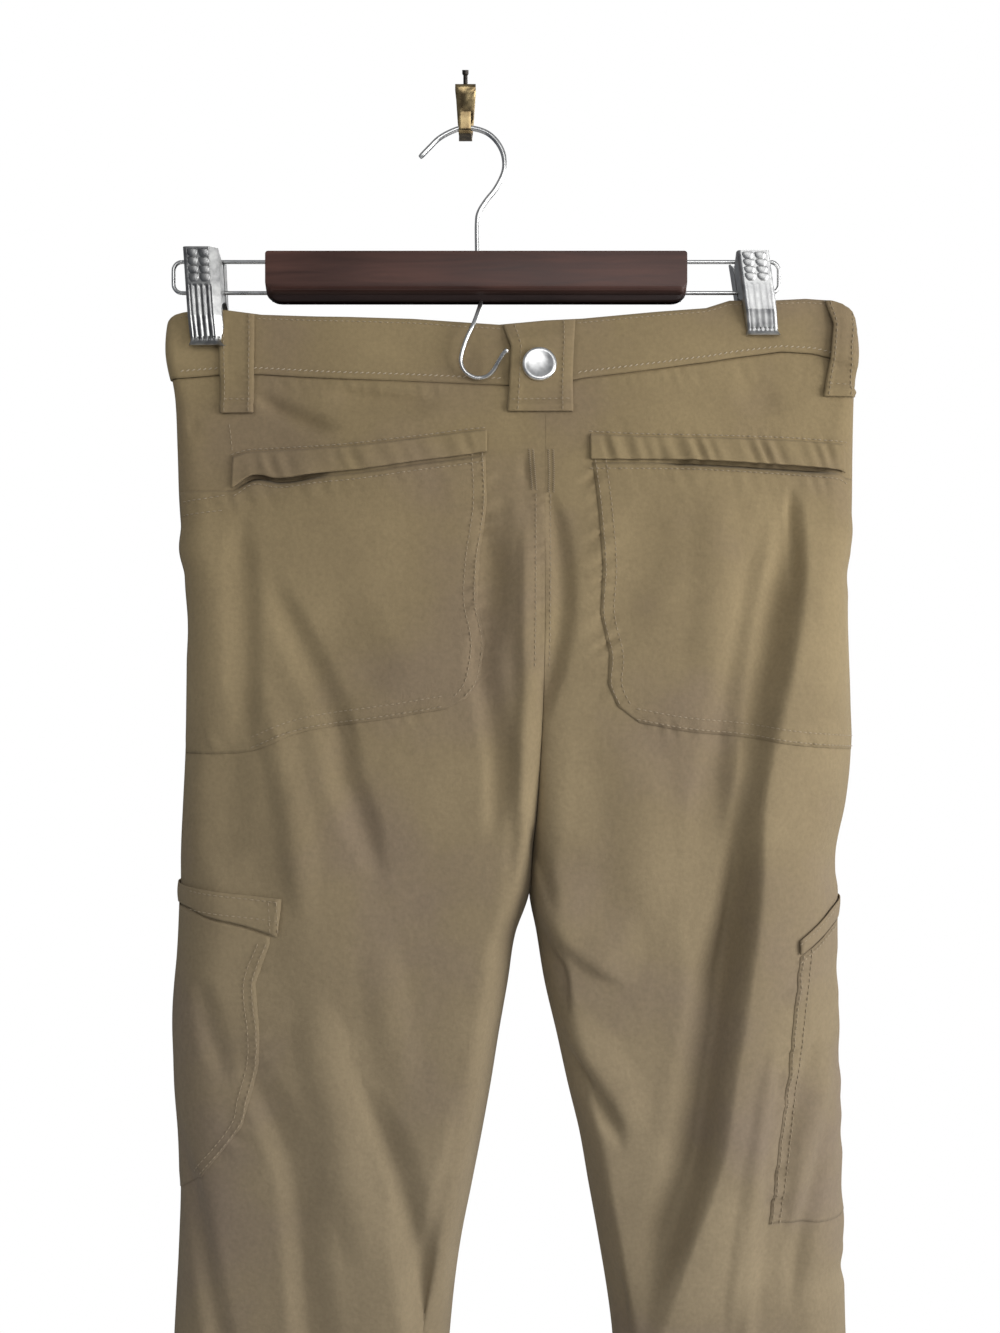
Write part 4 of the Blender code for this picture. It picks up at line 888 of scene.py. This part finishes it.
across = np.concatenate((0.05 * (1 - np.cos(np.linspace(0, math.pi / 2, 14, endpoint=False))),
                         np.linspace(0.05, 1, 96)))
run = [("right", "front", c, 0.0) for c in across[::-1]] + [("right", "back", c, 0.0) for c in across[1:]]
run += [("left", "back", c, 0.0) for c in across[::-1][1:]]
run += [("left", "front", c, float(lap_at(c))) for c in across[1:]]
run += [("right", "front", 1 - c, LAP_OUT) for c in np.linspace(0.01, 0.18, 16)]
share = np.linspace(0, 1, 22)
swell = 0.5 * np.sin(share * math.pi) ** 0.6
grid, out = sewn_strip([band(side, face, np.full(share.shape, column), share, BAND_OUT + lap + swell)
                        for side, face, column, lap in run])
waistband = cloth_piece("waistband_strip", grid, out, BAND_WALL, seam_cloth)
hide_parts("waistband")

band_rows = {0.90: [], 0.07: []}
for side, face, start, stop in (("left", "back", 0.03, 0.885), ("right", "back", 0.03, 0.9),
                                ("left", "front", 0.03, 0.98), ("right", "front", 0.03, 0.80)):
    column = np.linspace(start, stop, 180)
    lap = lap_at(column) if (side, face) == ("left", "front") else 0 * column
    for share_down, rows in band_rows.items():
        rows.append(band(side, face, column, share_down, BAND_OUT + 0.25 + lap))
beads("stitches_waistband_seam", band_rows[0.90], pale_thread, 2.3, 0.9, 0.6, 1.0)
beads("stitches_waistband_top", band_rows[0.07], thread)


# ---- Belt loops ------------------------------------------------------------------------------
# Folded strips of twill, edge-stitched, sewn down at the band's top edge and below its seam. The
# wide one at the centre back carries a metal cap.
EDGE_STITCH = 0.14
LOOPS = {
    # face, arch, foot, columns, X of both edges at the top, a quarter, two thirds and all the way down
    "loop_centre_back": ("back", 2.9, -184.3, 26, (21.6, 26.4, 25.4, 24.2), (63.6, 62.6, 61.6, 61.8)),
    "loop_back_left": ("back", 0.4, -184.0, 15, (-141.5, -140.8, -139.8, -139.4),
                       (-120.4, -120.2, -120, -119.8)),
    "loop_back_right": ("back", 2.5, -174.0, 13, (206.8, 211.2, 208.8, 204.8),
                        (224.3, 223.8, 223.4, 223.0)),
    "loop_front_left": ("front", 2.2, -184.5, 9, (-57.4, -57.2, -57, -57), (-43.6, -43.8, -44, -44)),
    "loop_front_right": ("front", 2.2, -180.5, 9, (118.6, 118.8, 119, 119), (131.2, 131, 130.8, 130.8)),
}


def bulge(value, middle, half):
    """Rounded rise about a middle."""
    return np.exp(-((value - middle) / half) ** 2)


loop_rows = []
for name, (face, arch, foot_z, count, edge_a, edge_b) in LOOPS.items():
    share = np.linspace(0, 1, 60)
    near = np.interp(share, (0, 0.25, 0.66, 1), edge_a)
    far = np.interp(share, (0, 0.25, 0.66, 1), edge_b)
    bow = ease(share / 0.22) * ease((0.80 - share) / 0.26)
    hemmed = 0.9 * bulge(share, 0.93, 0.035) - 0.35 * bulge(share, 0.86, 0.02)
    strips = []
    for t in np.linspace(0, 1, count):
        x = near + (far - near) * t
        side = "left" if x.mean() < 45.5 else "right"
        start = float(across_at(side, x[0], -125.0))
        top = waist_edge(face, side, "top", start) - 0.6
        z = top + (foot_z - top) * share
        over = 0.5 - 0.5 * np.tanh((waist_edge(face, side, "seam", start) - 1.5 - z) / 1.5)
        welted = 0.45 * bulge(t, EDGE_STITCH, 0.05) + 0.45 * bulge(t, 1 - EDGE_STITCH, 0.05)
        lifted = 0.8 * math.exp(-t / 0.06) * bow
        rim = 0.5 * (math.exp(-t / 0.03) + math.exp(-(1 - t) / 0.03))
        raised = (BAND_OUT * (0.4 + 0.9 * over) + 1.6 + arch * bow * (0.6 + 0.4 * math.sin(math.pi * t))
                  + welted + hemmed + lifted - rim)
        strips.append(stiff_cloth(side, face, np.maximum(across_at(side, x, z), 0.002), z, 0.5, raised))
    grid, out = sewn_strip(strips)
    piece = cloth_piece(name + "_strip", grid, out, 1.0, seam_cloth)
    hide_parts(name)
    stitched = round(EDGE_STITCH * count)
    for row in (np.s_[stitched], np.s_[count - 1 - stitched], np.s_[1:-1, 51]):
        loop_rows.append((grid[row] + out[row] * 0.1, out[row]))
beads("stitches_loops", loop_rows, thread)


# ---- Fly, hand pockets and hems --------------------------------------------------------------
# Plain front: a stitched fly placket, slant hand-pocket edges, and a turned hem inside each leg.
u, v = grid_shares(16, 60)
z = waist_edge("front", "left", "seam", 0.9) - 0.6 - 138 * v + 0 * u
edge = 0.85 + 0.12 * ease((v - 0.62) / 0.38)
grid, out = on_cloth("left", "front", edge + (0.99 - edge) * u, z, 1.2)
piece = cloth_piece("fly_placket_cloth", grid, out, 0.8, seam_cloth)
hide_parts("fly_placket")
front_rows = [on_cloth("left", "front", edge[0] + inset, z[0], 1.35) for inset in (0.008, 0.034)]
for side in ("left", "right"):
    u, v = grid_shares(8, 70)
    z = waist_edge("front", side, "seam", 0.44) - 2 - 120 * v + 0 * u
    grid, out = on_cloth(side, "front", 0.44 - 0.40 * v ** 1.3 + 0.05 * u, z, 1.8)
    piece = cloth_piece("hand_pocket_edge_cloth_" + side, grid, out, 0.8, seam_cloth)
    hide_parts(f"hand_pocket_edge_{side}")
    for column in (3, 6):
        front_rows.append((grid[column] + out[column] * 0.1, out[column]))
    columns = panel_columns(12, 20, 12)
    ring = [("back", column) for column in columns[::-1]] + [("front", column) for column in columns[1:-1]]
    z = np.linspace(HEM_Z + 24, HEM_Z + 0.4, 8)
    grid, out = sewn_strip([on_cloth(side, face, np.full(z.shape, column), z, -1.45)
                            for face, column in ring])
    piece = cloth_piece("hem_turn_" + side, grid, out, 0.8, seam_cloth, ring=True)
    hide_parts(f"hem_{side}")
    column = np.linspace(0.03, 0.97, 160)
    for face in ("back", "front"):
        front_rows.append(on_cloth(side, face, column, np.full(column.shape, HEM_Z + 22.0), 0.1))
beads("stitches_front_and_hems", front_rows, thread)


# ---- Cap and button --------------------------------------------------------------------------
# Pressed steel cap, domed and rimmed, riveted to the wide loop, and a plain shank button.
def metal(name, tone, rough, dark, scale=320.0, dents=0.12):
    """Worn metal: uneven polish, fine scratches and darker dirt in its hollows."""
    material, tree, shader = bare_material(name)
    grime = noise(tree, node(tree, "TexCoord", {})["Object"], scale, 6.0)
    polish = node(tree, "MapRange", {"Value": grime, "To Min": rough * 0.7, "To Max": rough * 1.5})
    feed(tree, shader, {"Metallic": 1.0, "Base Color": ramp(tree, grime, (0.30, dark), (0.62, tone)),
                        "Roughness": polish["Result"], "Normal": bump(tree, dents, 0.0002, grime)})
    return material


def corners(cad_node):
    """Lowest and highest corners of a solid, in millimetres."""
    return (np.array(corner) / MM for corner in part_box(cad_node))


def spun(name, profile, steps, material, place, axis):
    """Turned piece: a profile of radius and height spun round, then set on its place and axis."""
    mesh = bpy.data.meshes.new(name)
    points = [(radius * MM, 0, height * MM) for radius, height in profile]
    mesh.from_pydata(points, [(i, i + 1) for i in range(len(points) - 1)], [])
    piece = new_piece(name, mesh, material)
    bpy.ops.object.mode_set(mode="EDIT")
    bpy.ops.mesh.select_all(action="SELECT")
    bpy.ops.mesh.spin(steps=steps, angle=2 * math.pi, center=(0, 0, 0), axis=(0, 0, 1))
    bpy.ops.mesh.select_all(action="SELECT")
    bpy.ops.mesh.remove_doubles(threshold=0.00001)
    bpy.ops.object.mode_set(mode="OBJECT")
    turn_outwards()
    bpy.ops.object.shade_smooth_by_angle(angle=math.radians(42))
    turn = Vector(axis).to_track_quat("Z", "Y").to_matrix().to_4x4()
    mesh.transform(Matrix.Translation(Vector(place) * MM) @ turn)
    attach(piece, "root")
    return piece


bright_steel = metal("cap_steel", (0.90, 0.90, 0.89), 0.30, (0.62, 0.62, 0.61), 260.0, 0.06)
low, high = corners("loop_cap")
cap_profile = [(0, 1.45), (2.0, 1.5), (4.6, 1.62), (6.6, 1.95), (7.6, 2.3), (8.5, 2.45), (9.3, 2.2),
               (9.8, 1.5), (10.0, 0.7), (9.9, 0.1), (9.4, -0.2), (0, -0.2)]
cap_place = ((low[0] + high[0]) / 2, high[1] - 1.3, (low[2] + high[2]) / 2 - 1.8)
cap = spun("loop_cap_domed", cap_profile, 48, bright_steel, cap_place, (0, -1, 0.14))
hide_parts("loop_cap")
low, high = corners("waist_button")
button_profile = [(0, 2.0), (3.2, 2.05), (5.0, 2.3), (6.1, 2.9), (7.2, 3.05), (8.1, 2.7), (8.5, 1.9),
                  (8.3, 0.6), (7.4, 0), (0, 0)]
button_place = ((low[0] + high[0]) / 2, low[1] + 0.2, (low[2] + high[2]) / 2)
button = spun("waist_button_shank", button_profile, 40, bright_steel, button_place, (0, 1, 0.02))
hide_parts("waist_button")


# ---- Hanger bar ------------------------------------------------------------------------------
# Straight bar of dark stained and lacquered hardwood, planed flat, its long edges eased and its
# lower corners rounded, bored for the wires. Along its foot a painted shade darkens the wood.
BAR_X = (-114.8, 128.0)
BAR_Z = (-116.5, -89.5)
BAR_DEPTH = 14.0
HANGER_Y = -18.0
UNDERSIDE_SHADE_Z = (-0.1146, -0.1112)
wood, tree, shader = bare_material("dark_stained_wood")
place = node(tree, "TexCoord", {})["Object"]
stretched = node(tree, "Mapping", {"Vector": place, "Scale": (9, 90, 120)})["Vector"]
grain = noise(tree, stretched, 1.6, 8.0, Distortion=0.7)
stain = ramp(tree, grain, (0.25, (0.034, 0.0125, 0.0085)), (0.75, (0.084, 0.035, 0.025)))
clouded = mix(tree, 0.45, stain, noise(tree, place, 16.0), "OVERLAY")
level = node(tree, "SeparateXYZ", {"Vector": place})["Z"]
# Near-black band along the bar's foot: painted shade of its underside.
underside_shade = node(tree, "MapRange", {"Value": level, "From Min": UNDERSIDE_SHADE_Z[0], "From Max": UNDERSIDE_SHADE_Z[1],
                               "To Min": 0.22})
gloss = node(tree, "MapRange", {"Value": grain, "To Min": 0.34, "To Max": 0.58})
feed(tree, shader, {"Base Color": mix(tree, underside_shade["Result"], (0.004, 0.002, 0.002, 1), clouded),
                    "Roughness": gloss["Result"], "Normal": bump(tree, 0.18, 0.0003, grain),
                    "Coat Weight": 0.12, "Coat Roughness": 0.4, "Specular IOR Level": 0.35})

bpy.ops.object.select_all(action="DESELECT")
bpy.ops.mesh.primitive_cube_add(size=1)
bar = bpy.context.object
bar.name = "hanger_bar_wood"
bar_length, bar_height = BAR_X[1] - BAR_X[0], BAR_Z[1] - BAR_Z[0]
bar.data.transform(Matrix.Translation(Vector((sum(BAR_X) / 2, HANGER_Y, sum(BAR_Z) / 2)) * MM)
                   @ Matrix.Diagonal((bar_length * MM, BAR_DEPTH * MM, bar_height * MM, 1)))


def pick_nothing(piece):
    """Clear what is selected of a piece's corners and faces."""
    for vertex in piece.data.vertices:
        vertex.select = False
    for face in piece.data.polygons:
        face.select = False


def round_edges(piece, wanted, width, segments):
    """Bevel the edges that a test of their two ends picks out."""
    pick_nothing(piece)
    for edge in piece.data.edges:
        edge.select = wanted(*(piece.data.vertices[end].co / MM for end in edge.vertices))
    bpy.ops.object.mode_set(mode="EDIT")
    bpy.ops.mesh.select_mode(type="EDGE")
    bpy.ops.mesh.bevel(offset=width * MM, segments=segments, profile=0.5, affect="EDGES")
    bpy.ops.object.mode_set(mode="OBJECT")


def runs_deep(a, b):
    """Whether an edge runs from the bar's back to its front."""
    return abs(a.y - b.y) > 5


round_edges(bar, lambda a, b: runs_deep(a, b) and a.z < -110, 4.5, 6)
round_edges(bar, lambda a, b: runs_deep(a, b) and a.z > -92, 1.6, 3)
round_edges(bar, lambda a, b: abs(a.y - b.y) < 1 and max(a.z, b.z) < -111 and min(a.z, b.z) < -112, 4.4, 6)
alone(bar)
finish_with(bar, "BEVEL", width=1.1 * MM, segments=3, limit_method="ANGLE", angle_limit=math.radians(60))
bpy.ops.object.shade_smooth_by_angle(angle=math.radians(35))
bar.data.materials.append(wood)
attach(bar, "root")
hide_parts("hanger_bar")


# ---- Hooks and side wires --------------------------------------------------------------------
# Nickel-plated steel wire: the hook above screws into the bar, the small hook below hangs another
# hanger, and a bent loop at each end carries a clip.
WIRE_Z = (-94.0, -112.0)
BEND = 5.0
plated_wire = metal("plated_wire", (0.74, 0.74, 0.73), 0.26, (0.58, 0.58, 0.57), 160.0, 0.02)


def bent_wire(name, points, radius, per_span=6):
    """Round wire along a smooth line, its ends closed and eased."""
    path = soft_line(points, per_span)
    data = bpy.data.curves.new(name, "CURVE")
    data.dimensions = "3D"
    data.bevel_depth = radius * MM
    data.bevel_resolution = 5
    data.use_fill_caps = True
    spline = data.splines.new("POLY")
    spline.points.add(len(path) - 1)
    for point, place in zip(spline.points, path):
        point.co = (*(Vector(place) * MM), 1)
    spline.points[0].radius = 0.8
    spline.points[-1].radius = 0.8
    new_piece(name, data, plated_wire)
    bpy.ops.object.convert(target="MESH")
    bpy.ops.object.shade_smooth_by_angle(angle=math.radians(50))
    piece = bpy.context.object
    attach(piece, "root")
    return piece


y = HANGER_Y
top_hook = [(x, y, z) for x, z in (
    (7.2, -101.5), (7.2, -89.5), (7.1, -72.3), (8.1, -65.4), (12.2, -58.6), (17.7, -51.6), (21.9, -43.5),
    (23.0, -37), (21.7, -29.9), (18.0, -23.6), (12.6, -19.0), (5.5, -16.6), (-1.4, -16.2), (-8.2, -18.4),
    (-15.1, -22.3), (-20.4, -27.4), (-26.1, -33.3))]
hook = bent_wire("hanger_hook_wire", top_hook, 1.5)
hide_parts("hanger_hook")
low_hook = [(x, y - out, z) for x, out, z in (
    (9.3, 2, -108.5), (9.3, 2, -117), (8.0, 11.5, -125), (5.4, 17.8, -134), (1.4, 19.6, -143),
    (-1.2, 20, -151), (-1.8, 20, -156.2), (0.2, 20, -161.4), (5.5, 20, -165), (11.6, 20.2, -165),
    (15.8, 21.6, -162.4), (18.9, 23.2, -157.8), (21.6, 24.6, -153.5), (24.4, 25.4, -150.5))]
hook = bent_wire("lower_hook_wire", low_hook, 1.25)
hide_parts("lower_hook")
for side, face_x, inward, end_x in (("left", BAR_X[0], 1, -169.0), ("right", BAR_X[1], -1, 182.0)):
    straight = (face_x + 8.6 * inward, face_x, end_x + 9 * inward)
    points = [(x, y, WIRE_Z[0]) for x in straight]
    for corner_z, first in ((WIRE_Z[0] - BEND, math.pi / 2), (WIRE_Z[1] + BEND, math.pi)):
        for angle in (first + math.pi / 2 * step / 4 for step in range(5)):
            x = end_x + (BEND + BEND * math.cos(angle)) * inward
            points.append((x, y, corner_z + BEND * math.sin(angle)))
    points += [(x, y, WIRE_Z[1]) for x in straight[::-1]]
    loop = bent_wire(f"side_wire_{side}_bent", points, 1.15, 4)
    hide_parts(f"side_wire_{side}")


# ---- Clips -----------------------------------------------------------------------------------
# Two stamped steel jaws a clip, hinged on the side wires round a coil spring. The grip is pressed
# with knurls, the body with ribs, and the lip is cut into teeth that bite the band. The left
# clip wears a darker copy of the steel, which is painted shade.
clip_steel = metal("stamped_steel", (0.58, 0.58, 0.57), 0.40, (0.36, 0.36, 0.36), 200.0, 0.05)
# Darker copy of the clip steel for the left clip: painted shade.
clip_steel_shaded = metal("stamped_steel_painted_shade", (0.40, 0.40, 0.39), 0.36, (0.22, 0.22, 0.22), 200.0, 0.05)
CLIPS = {
    "left": {"x": -150.2, "top": -90.2, "end": -145.0, "half": 9.4, "lean": 0.057, "flange": 0.55,
             "ribs": 0.9},
    "right": {"x": 164.2, "top": -92.2, "end": -139.0, "half": 8.8, "lean": 0.145, "flange": 0.0,
              "ribs": 0.15},
}
JAW_PROFILE = (
    # share of the way down, how far the face stands off the lip, and the side walls' depth there
    # where they don't reach back to the wires
    (0.00, 5.6, 2.0), (0.12, 5.2, None), (0.50, 4.4, None), (0.57, 4.1, 2.8), (0.70, 3.6, 2.4),
    (0.93, 0.2, 0.9), (0.96, 0.3, 0.9), (1.00, 1.9, 0.9),
)
PLATE = 0.8
COIL = 2.5
FIELD_LEFT = 0.82
LIP_OUT = 6.1
RIB_START = 0.38
TOOTH_START = 0.93
keys, stands, _ = zip(*JAW_PROFILE)


def pressed(clip, across, share):
    """Relief pressed into a jaw's face: knurls at the grip, ribs below, rolled sides, cut teeth."""
    shoulder = 1.8 * (1 - np.sqrt(1 - np.clip((np.abs(across) - 0.82) / 0.18, 0, 1) ** 2))
    flange = clip["half"] * 0.85 * np.clip(across - clip["flange"], 0, 1) * (clip["flange"] > 0)
    field = (across + FIELD_LEFT) / ((clip["flange"] or 0.78) + FIELD_LEFT)
    column = field * 2 % 1.0 - 0.5
    row = (share - 0.03) / 0.085 % 1.0
    dimple = 0.8 * np.sqrt(np.clip(1 - (column / 0.42) ** 2 - ((row - 0.15) / 0.78) ** 2, 0, 1))
    dimple = dimple * (field > 0) * (field < 1) * (share > 0.03) * (share < 0.37)
    ribs = clip["ribs"] * (0.5 + 0.5 * np.cos(field * math.pi * 8)) ** 0.8
    ribs = ribs * ease(field / 0.04) * ease((1 - field) / 0.04)
    ribs = ribs * ease((share - RIB_START) / 0.03) * ease((TOOTH_START - share) / 0.02)
    teeth = np.abs((across + 1) * 3.5 % 1.0 - 0.5) * 2
    cut = 0.9 * (teeth > 0.55) * (share > 0.90) * (share < 0.955)
    return dimple - ribs - np.maximum(shoulder, flange) - cut


for side, clip in CLIPS.items():
    for face, sign in (("back", -1), ("front", 1)):
        low, high = corners(f"clip_{face}_{side}")
        lip = low[1] + LIP_OUT if face == "back" else high[1] - LIP_OUT
        u, share = grid_shares(61, 141)
        across = 2 * u - 1
        fall = share * (clip["top"] - clip["end"])
        flare = 1 + 0.07 * ease((share - TOOTH_START) / 0.07)
        x = clip["x"] + clip["lean"] * fall + across * clip["half"] * flare
        stand = np.interp(share, keys, stands) + pressed(clip, across, share)
        face_grid = np.stack((x, lip + stand * sign, clip["top"] - fall + 0 * across), -1)
        wires = HANGER_Y + 1.45 * sign
        reach = [wires if wall is None else lip + (out - wall - 1.8) * sign for _, out, wall in JAW_PROFILE]
        behind = np.interp(share[0], keys, reach)
        walls = []
        for rim_x, rim_y, rim_z in (face_grid[0].T, face_grid[-1].T):
            walls.append(np.stack([np.stack((rim_x, rim_y + (behind - rim_y) * back, rim_z), -1)
                                   for back in np.linspace(1, 0.1, 8)]))
        grid = np.concatenate((walls[0], face_grid, walls[1][::-1]))
        wide, tall = grid.shape[:2]
        bpy.ops.object.select_all(action="DESELECT")
        bpy.ops.mesh.primitive_grid_add(x_subdivisions=tall - 1, y_subdivisions=wide - 1, size=1)
        jaw = bpy.context.object
        jaw.name = f"clip_jaw_{face}_{side}"
        for number, vertex in enumerate(jaw.data.vertices):
            vertex.co = Vector(grid[number // tall][number % tall]) * MM
        turn_outwards()
        finish_with(jaw, "SOLIDIFY", thickness=PLATE * MM, offset=0)
        bpy.ops.object.shade_smooth_by_angle(angle=math.radians(38))
        jaw.data.materials.append(clip_steel_shaded if side == "left" else clip_steel)
        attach(jaw, "root")
        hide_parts(f"clip_{face}_{side}")
    low, high = corners(f"clip_spring_{side}")
    middle = (low + high) / 2
    turns = np.arange(0, 6 * 14 + 1) / 14 * 2 * math.pi
    coil_x = np.linspace(low[0] + 0.7, high[0] - 0.7, len(turns))
    coil = np.stack((coil_x, middle[1] + COIL * np.cos(turns), middle[2] + COIL * np.sin(turns)), -1)
    spring = bent_wire(f"clip_spring_{side}_coil", coil, 0.7, 1)
    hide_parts(f"clip_spring_{side}")


# ---- Wall hook -------------------------------------------------------------------------------
# Brass picture hook: a tapered strip folded round its dark steel nail at the top and curled up at
# the foot, where the hanger's wire rests.
CRADLE = 2.3
CRADLE_Z = -16.75
CURL = 5.5
brass = metal("aged_brass", (0.46, 0.35, 0.18), 0.26, (0.13, 0.085, 0.045), 150.0, 0.06)
nail_steel = metal("nail_steel", (0.10, 0.09, 0.08), 0.4, (0.03, 0.028, 0.025), 400.0)
strip = [
    # Y, Z and half the width along the strip's middle
    (-3.2, -6.0, 4.6), (-5.6, 2.0, 5.2), (-8.2, 9.5, 6.0), (-8.6, 11.6, 6.0), (-8.2, 12.8, 6.0),
    (-7.0, 13.4, 6.0), (-4.5, 13.5, 6.0), (-2.0, 13.4, 6.0), (-0.9, 13.0, 6.0), (-0.5, 12.0, 6.0),
    (-0.5, 3.0, 5.4), (-0.5, -6.0, 4.8), (-0.5, -13.0, 4.2)]
for angle in (math.pi / 2 * step / 4 for step in range(1, 5)):
    strip.append((-0.5 - CURL * (1 - math.cos(angle)), -13.0 - CURL * math.sin(angle), 3.9))
for angle in (-math.pi * (0.5 + 0.5 * step / 10) for step in range(11)):
    strip.append((HANGER_Y + CRADLE * math.cos(angle), CRADLE_Z + CRADLE * math.sin(angle), 3.5))
strip += [(HANGER_Y - CRADLE - 0.3, -12.0, 3.5), (HANGER_Y - CRADLE - 0.6, -7.5, 3.4)]

bpy.ops.object.select_all(action="DESELECT")
bpy.ops.mesh.primitive_plane_add(size=1, calc_uvs=False)
brass_hook = bpy.context.object
brass_hook.name = "wall_hook_strip"
start = [(x, y, z) for y, z, half in strip[:2] for x in (-half, half)]
for vertex, place in zip(brass_hook.data.vertices, start):
    vertex.co = Vector(place) * MM
for (here_y, here_z, half), (next_y, next_z, next_half) in zip(strip[1:], strip[2:]):
    pick_nothing(brass_hook)
    last = len(brass_hook.data.vertices)
    for edge in brass_hook.data.edges:
        edge.select = set(edge.vertices) == {last - 1, last - 2}
    brass_hook.data.vertices[last - 1].select = True
    brass_hook.data.vertices[last - 2].select = True
    bpy.ops.object.mode_set(mode="EDIT")
    bpy.ops.mesh.select_mode(type="EDGE")
    move = (0, (next_y - here_y) * MM, (next_z - here_z) * MM)
    bpy.ops.mesh.extrude_edges_move(TRANSFORM_OT_translate={"value": move})
    bpy.ops.transform.resize(value=(next_half / half, 1, 1), center_override=(0, 0, 0))
    bpy.ops.object.mode_set(mode="OBJECT")
turn_outwards()
bpy.ops.object.mode_set(mode="EDIT")
bpy.ops.mesh.subdivide(number_cuts=4)
bpy.ops.object.mode_set(mode="OBJECT")
for vertex in brass_hook.data.vertices:
    x, y, z = vertex.co / MM
    if y < -2.0 and -5.5 < z < 12.0:
        across = (x - (z - 3.0) * 0.62) / 1.18
        across_back = (x + (z - 6.0) * 0.62) / 1.18
        rise = 0.9 * bulge(across, 0, 1.3) + 0.45 * bulge(across_back, 0, 1.2)
        vertex.co.y -= rise * MM * min(1, (12.0 - z) / 2.5, (z + 5.5) / 2.5)
finish_with(brass_hook, "SOLIDIFY", thickness=1.0 * MM, offset=0)
finish_with(brass_hook, "BEVEL", width=0.22 * MM, segments=2, limit_method="ANGLE",
            angle_limit=math.radians(50))
bpy.ops.object.shade_smooth_by_angle(angle=math.radians(40))
brass_hook.data.materials.append(brass)
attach(brass_hook, "root")
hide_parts("wall_hook")
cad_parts["wall_nail"].data.materials.clear()
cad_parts["wall_nail"].data.materials.append(nail_steel)


# ---- Floor, light and camera -----------------------------------------------------------------
# Plain pale floor under the hems, a wide soft light from the room's right, and a level camera.
paint, tree, shader = bare_material("pale_floor")
feed(tree, shader, {"Base Color": (0.82, 0.81, 0.79, 1), "Roughness": 0.9})
bpy.ops.mesh.primitive_plane_add(size=2.4, location=(0, 0, -1.34))
floor = bpy.context.object
floor.name = "floor"
floor.data.materials.append(paint)

world = bpy.data.worlds.new("soft_room")
bpy.context.scene.world = world
world.use_nodes = True
tree = world.node_tree
height = node(tree, "SeparateXYZ", {"Vector": node(tree, "TexCoord", {})["Generated"]})["Z"]
level = node(tree, "MapRange", {"Value": height, "From Min": -0.6, "From Max": 0.5})["Result"]
sky = tree.nodes["Background"]
feed(tree, sky, {"Color": mix(tree, level, (0.28, 0.32, 0.40, 1), (0.98, 1.0, 1.04, 1)), "Strength": 0.25})
seen = node(tree, "Background", {"Color": (1, 1, 1, 1), "Strength": 1.0})["Background"]
to_camera = node(tree, "LightPath", {})["Is Camera Ray"]
room = node(tree, "MixShader", {"Fac": to_camera, 1: sky.outputs["Background"], 2: seen})["Shader"]
feed(tree, tree.nodes["World Output"], {"Surface": room})


def soft_light(name, place, aim, size, power):
    """Square soft box aimed at a point."""
    data = bpy.data.lights.new(name, "AREA")
    data.shape = "SQUARE"
    data.size = size
    data.energy = power
    lamp = bpy.data.objects.new(name, data)
    bpy.context.scene.collection.objects.link(lamp)
    lamp.location = place
    lamp.rotation_euler = (Vector(aim) - Vector(place)).to_track_quat("-Z", "Y").to_euler()
    return lamp


soft_light("window", (1.2, -0.64, -0.28), (0.03, -0.05, -0.36), 0.85, 17)
ceiling = soft_light("ceiling", (-0.9, -1.1, 0.5), (-0.08, 0, -0.34), 0.7, 3.8)
ceiling.visible_glossy = False
soft_light("room", (0.5, -2.2, 0.3), (0.0, 0, -0.3), 1.2, 13.5)
rear = soft_light("rear", (1.3, 1.6, 0.3), (0.0, 0, -0.5), 1.1, 15)
rear.visible_camera = False

lens = bpy.data.cameras.new("view")
lens.lens = 37.25
lens.sensor_width = 36.0
camera = bpy.data.objects.new("view", lens)
bpy.context.scene.collection.objects.link(camera)
camera.location = (0.0203, -0.818, -0.32857)
camera.rotation_euler = (math.radians(90), 0, 0)
bpy.context.scene.camera = camera
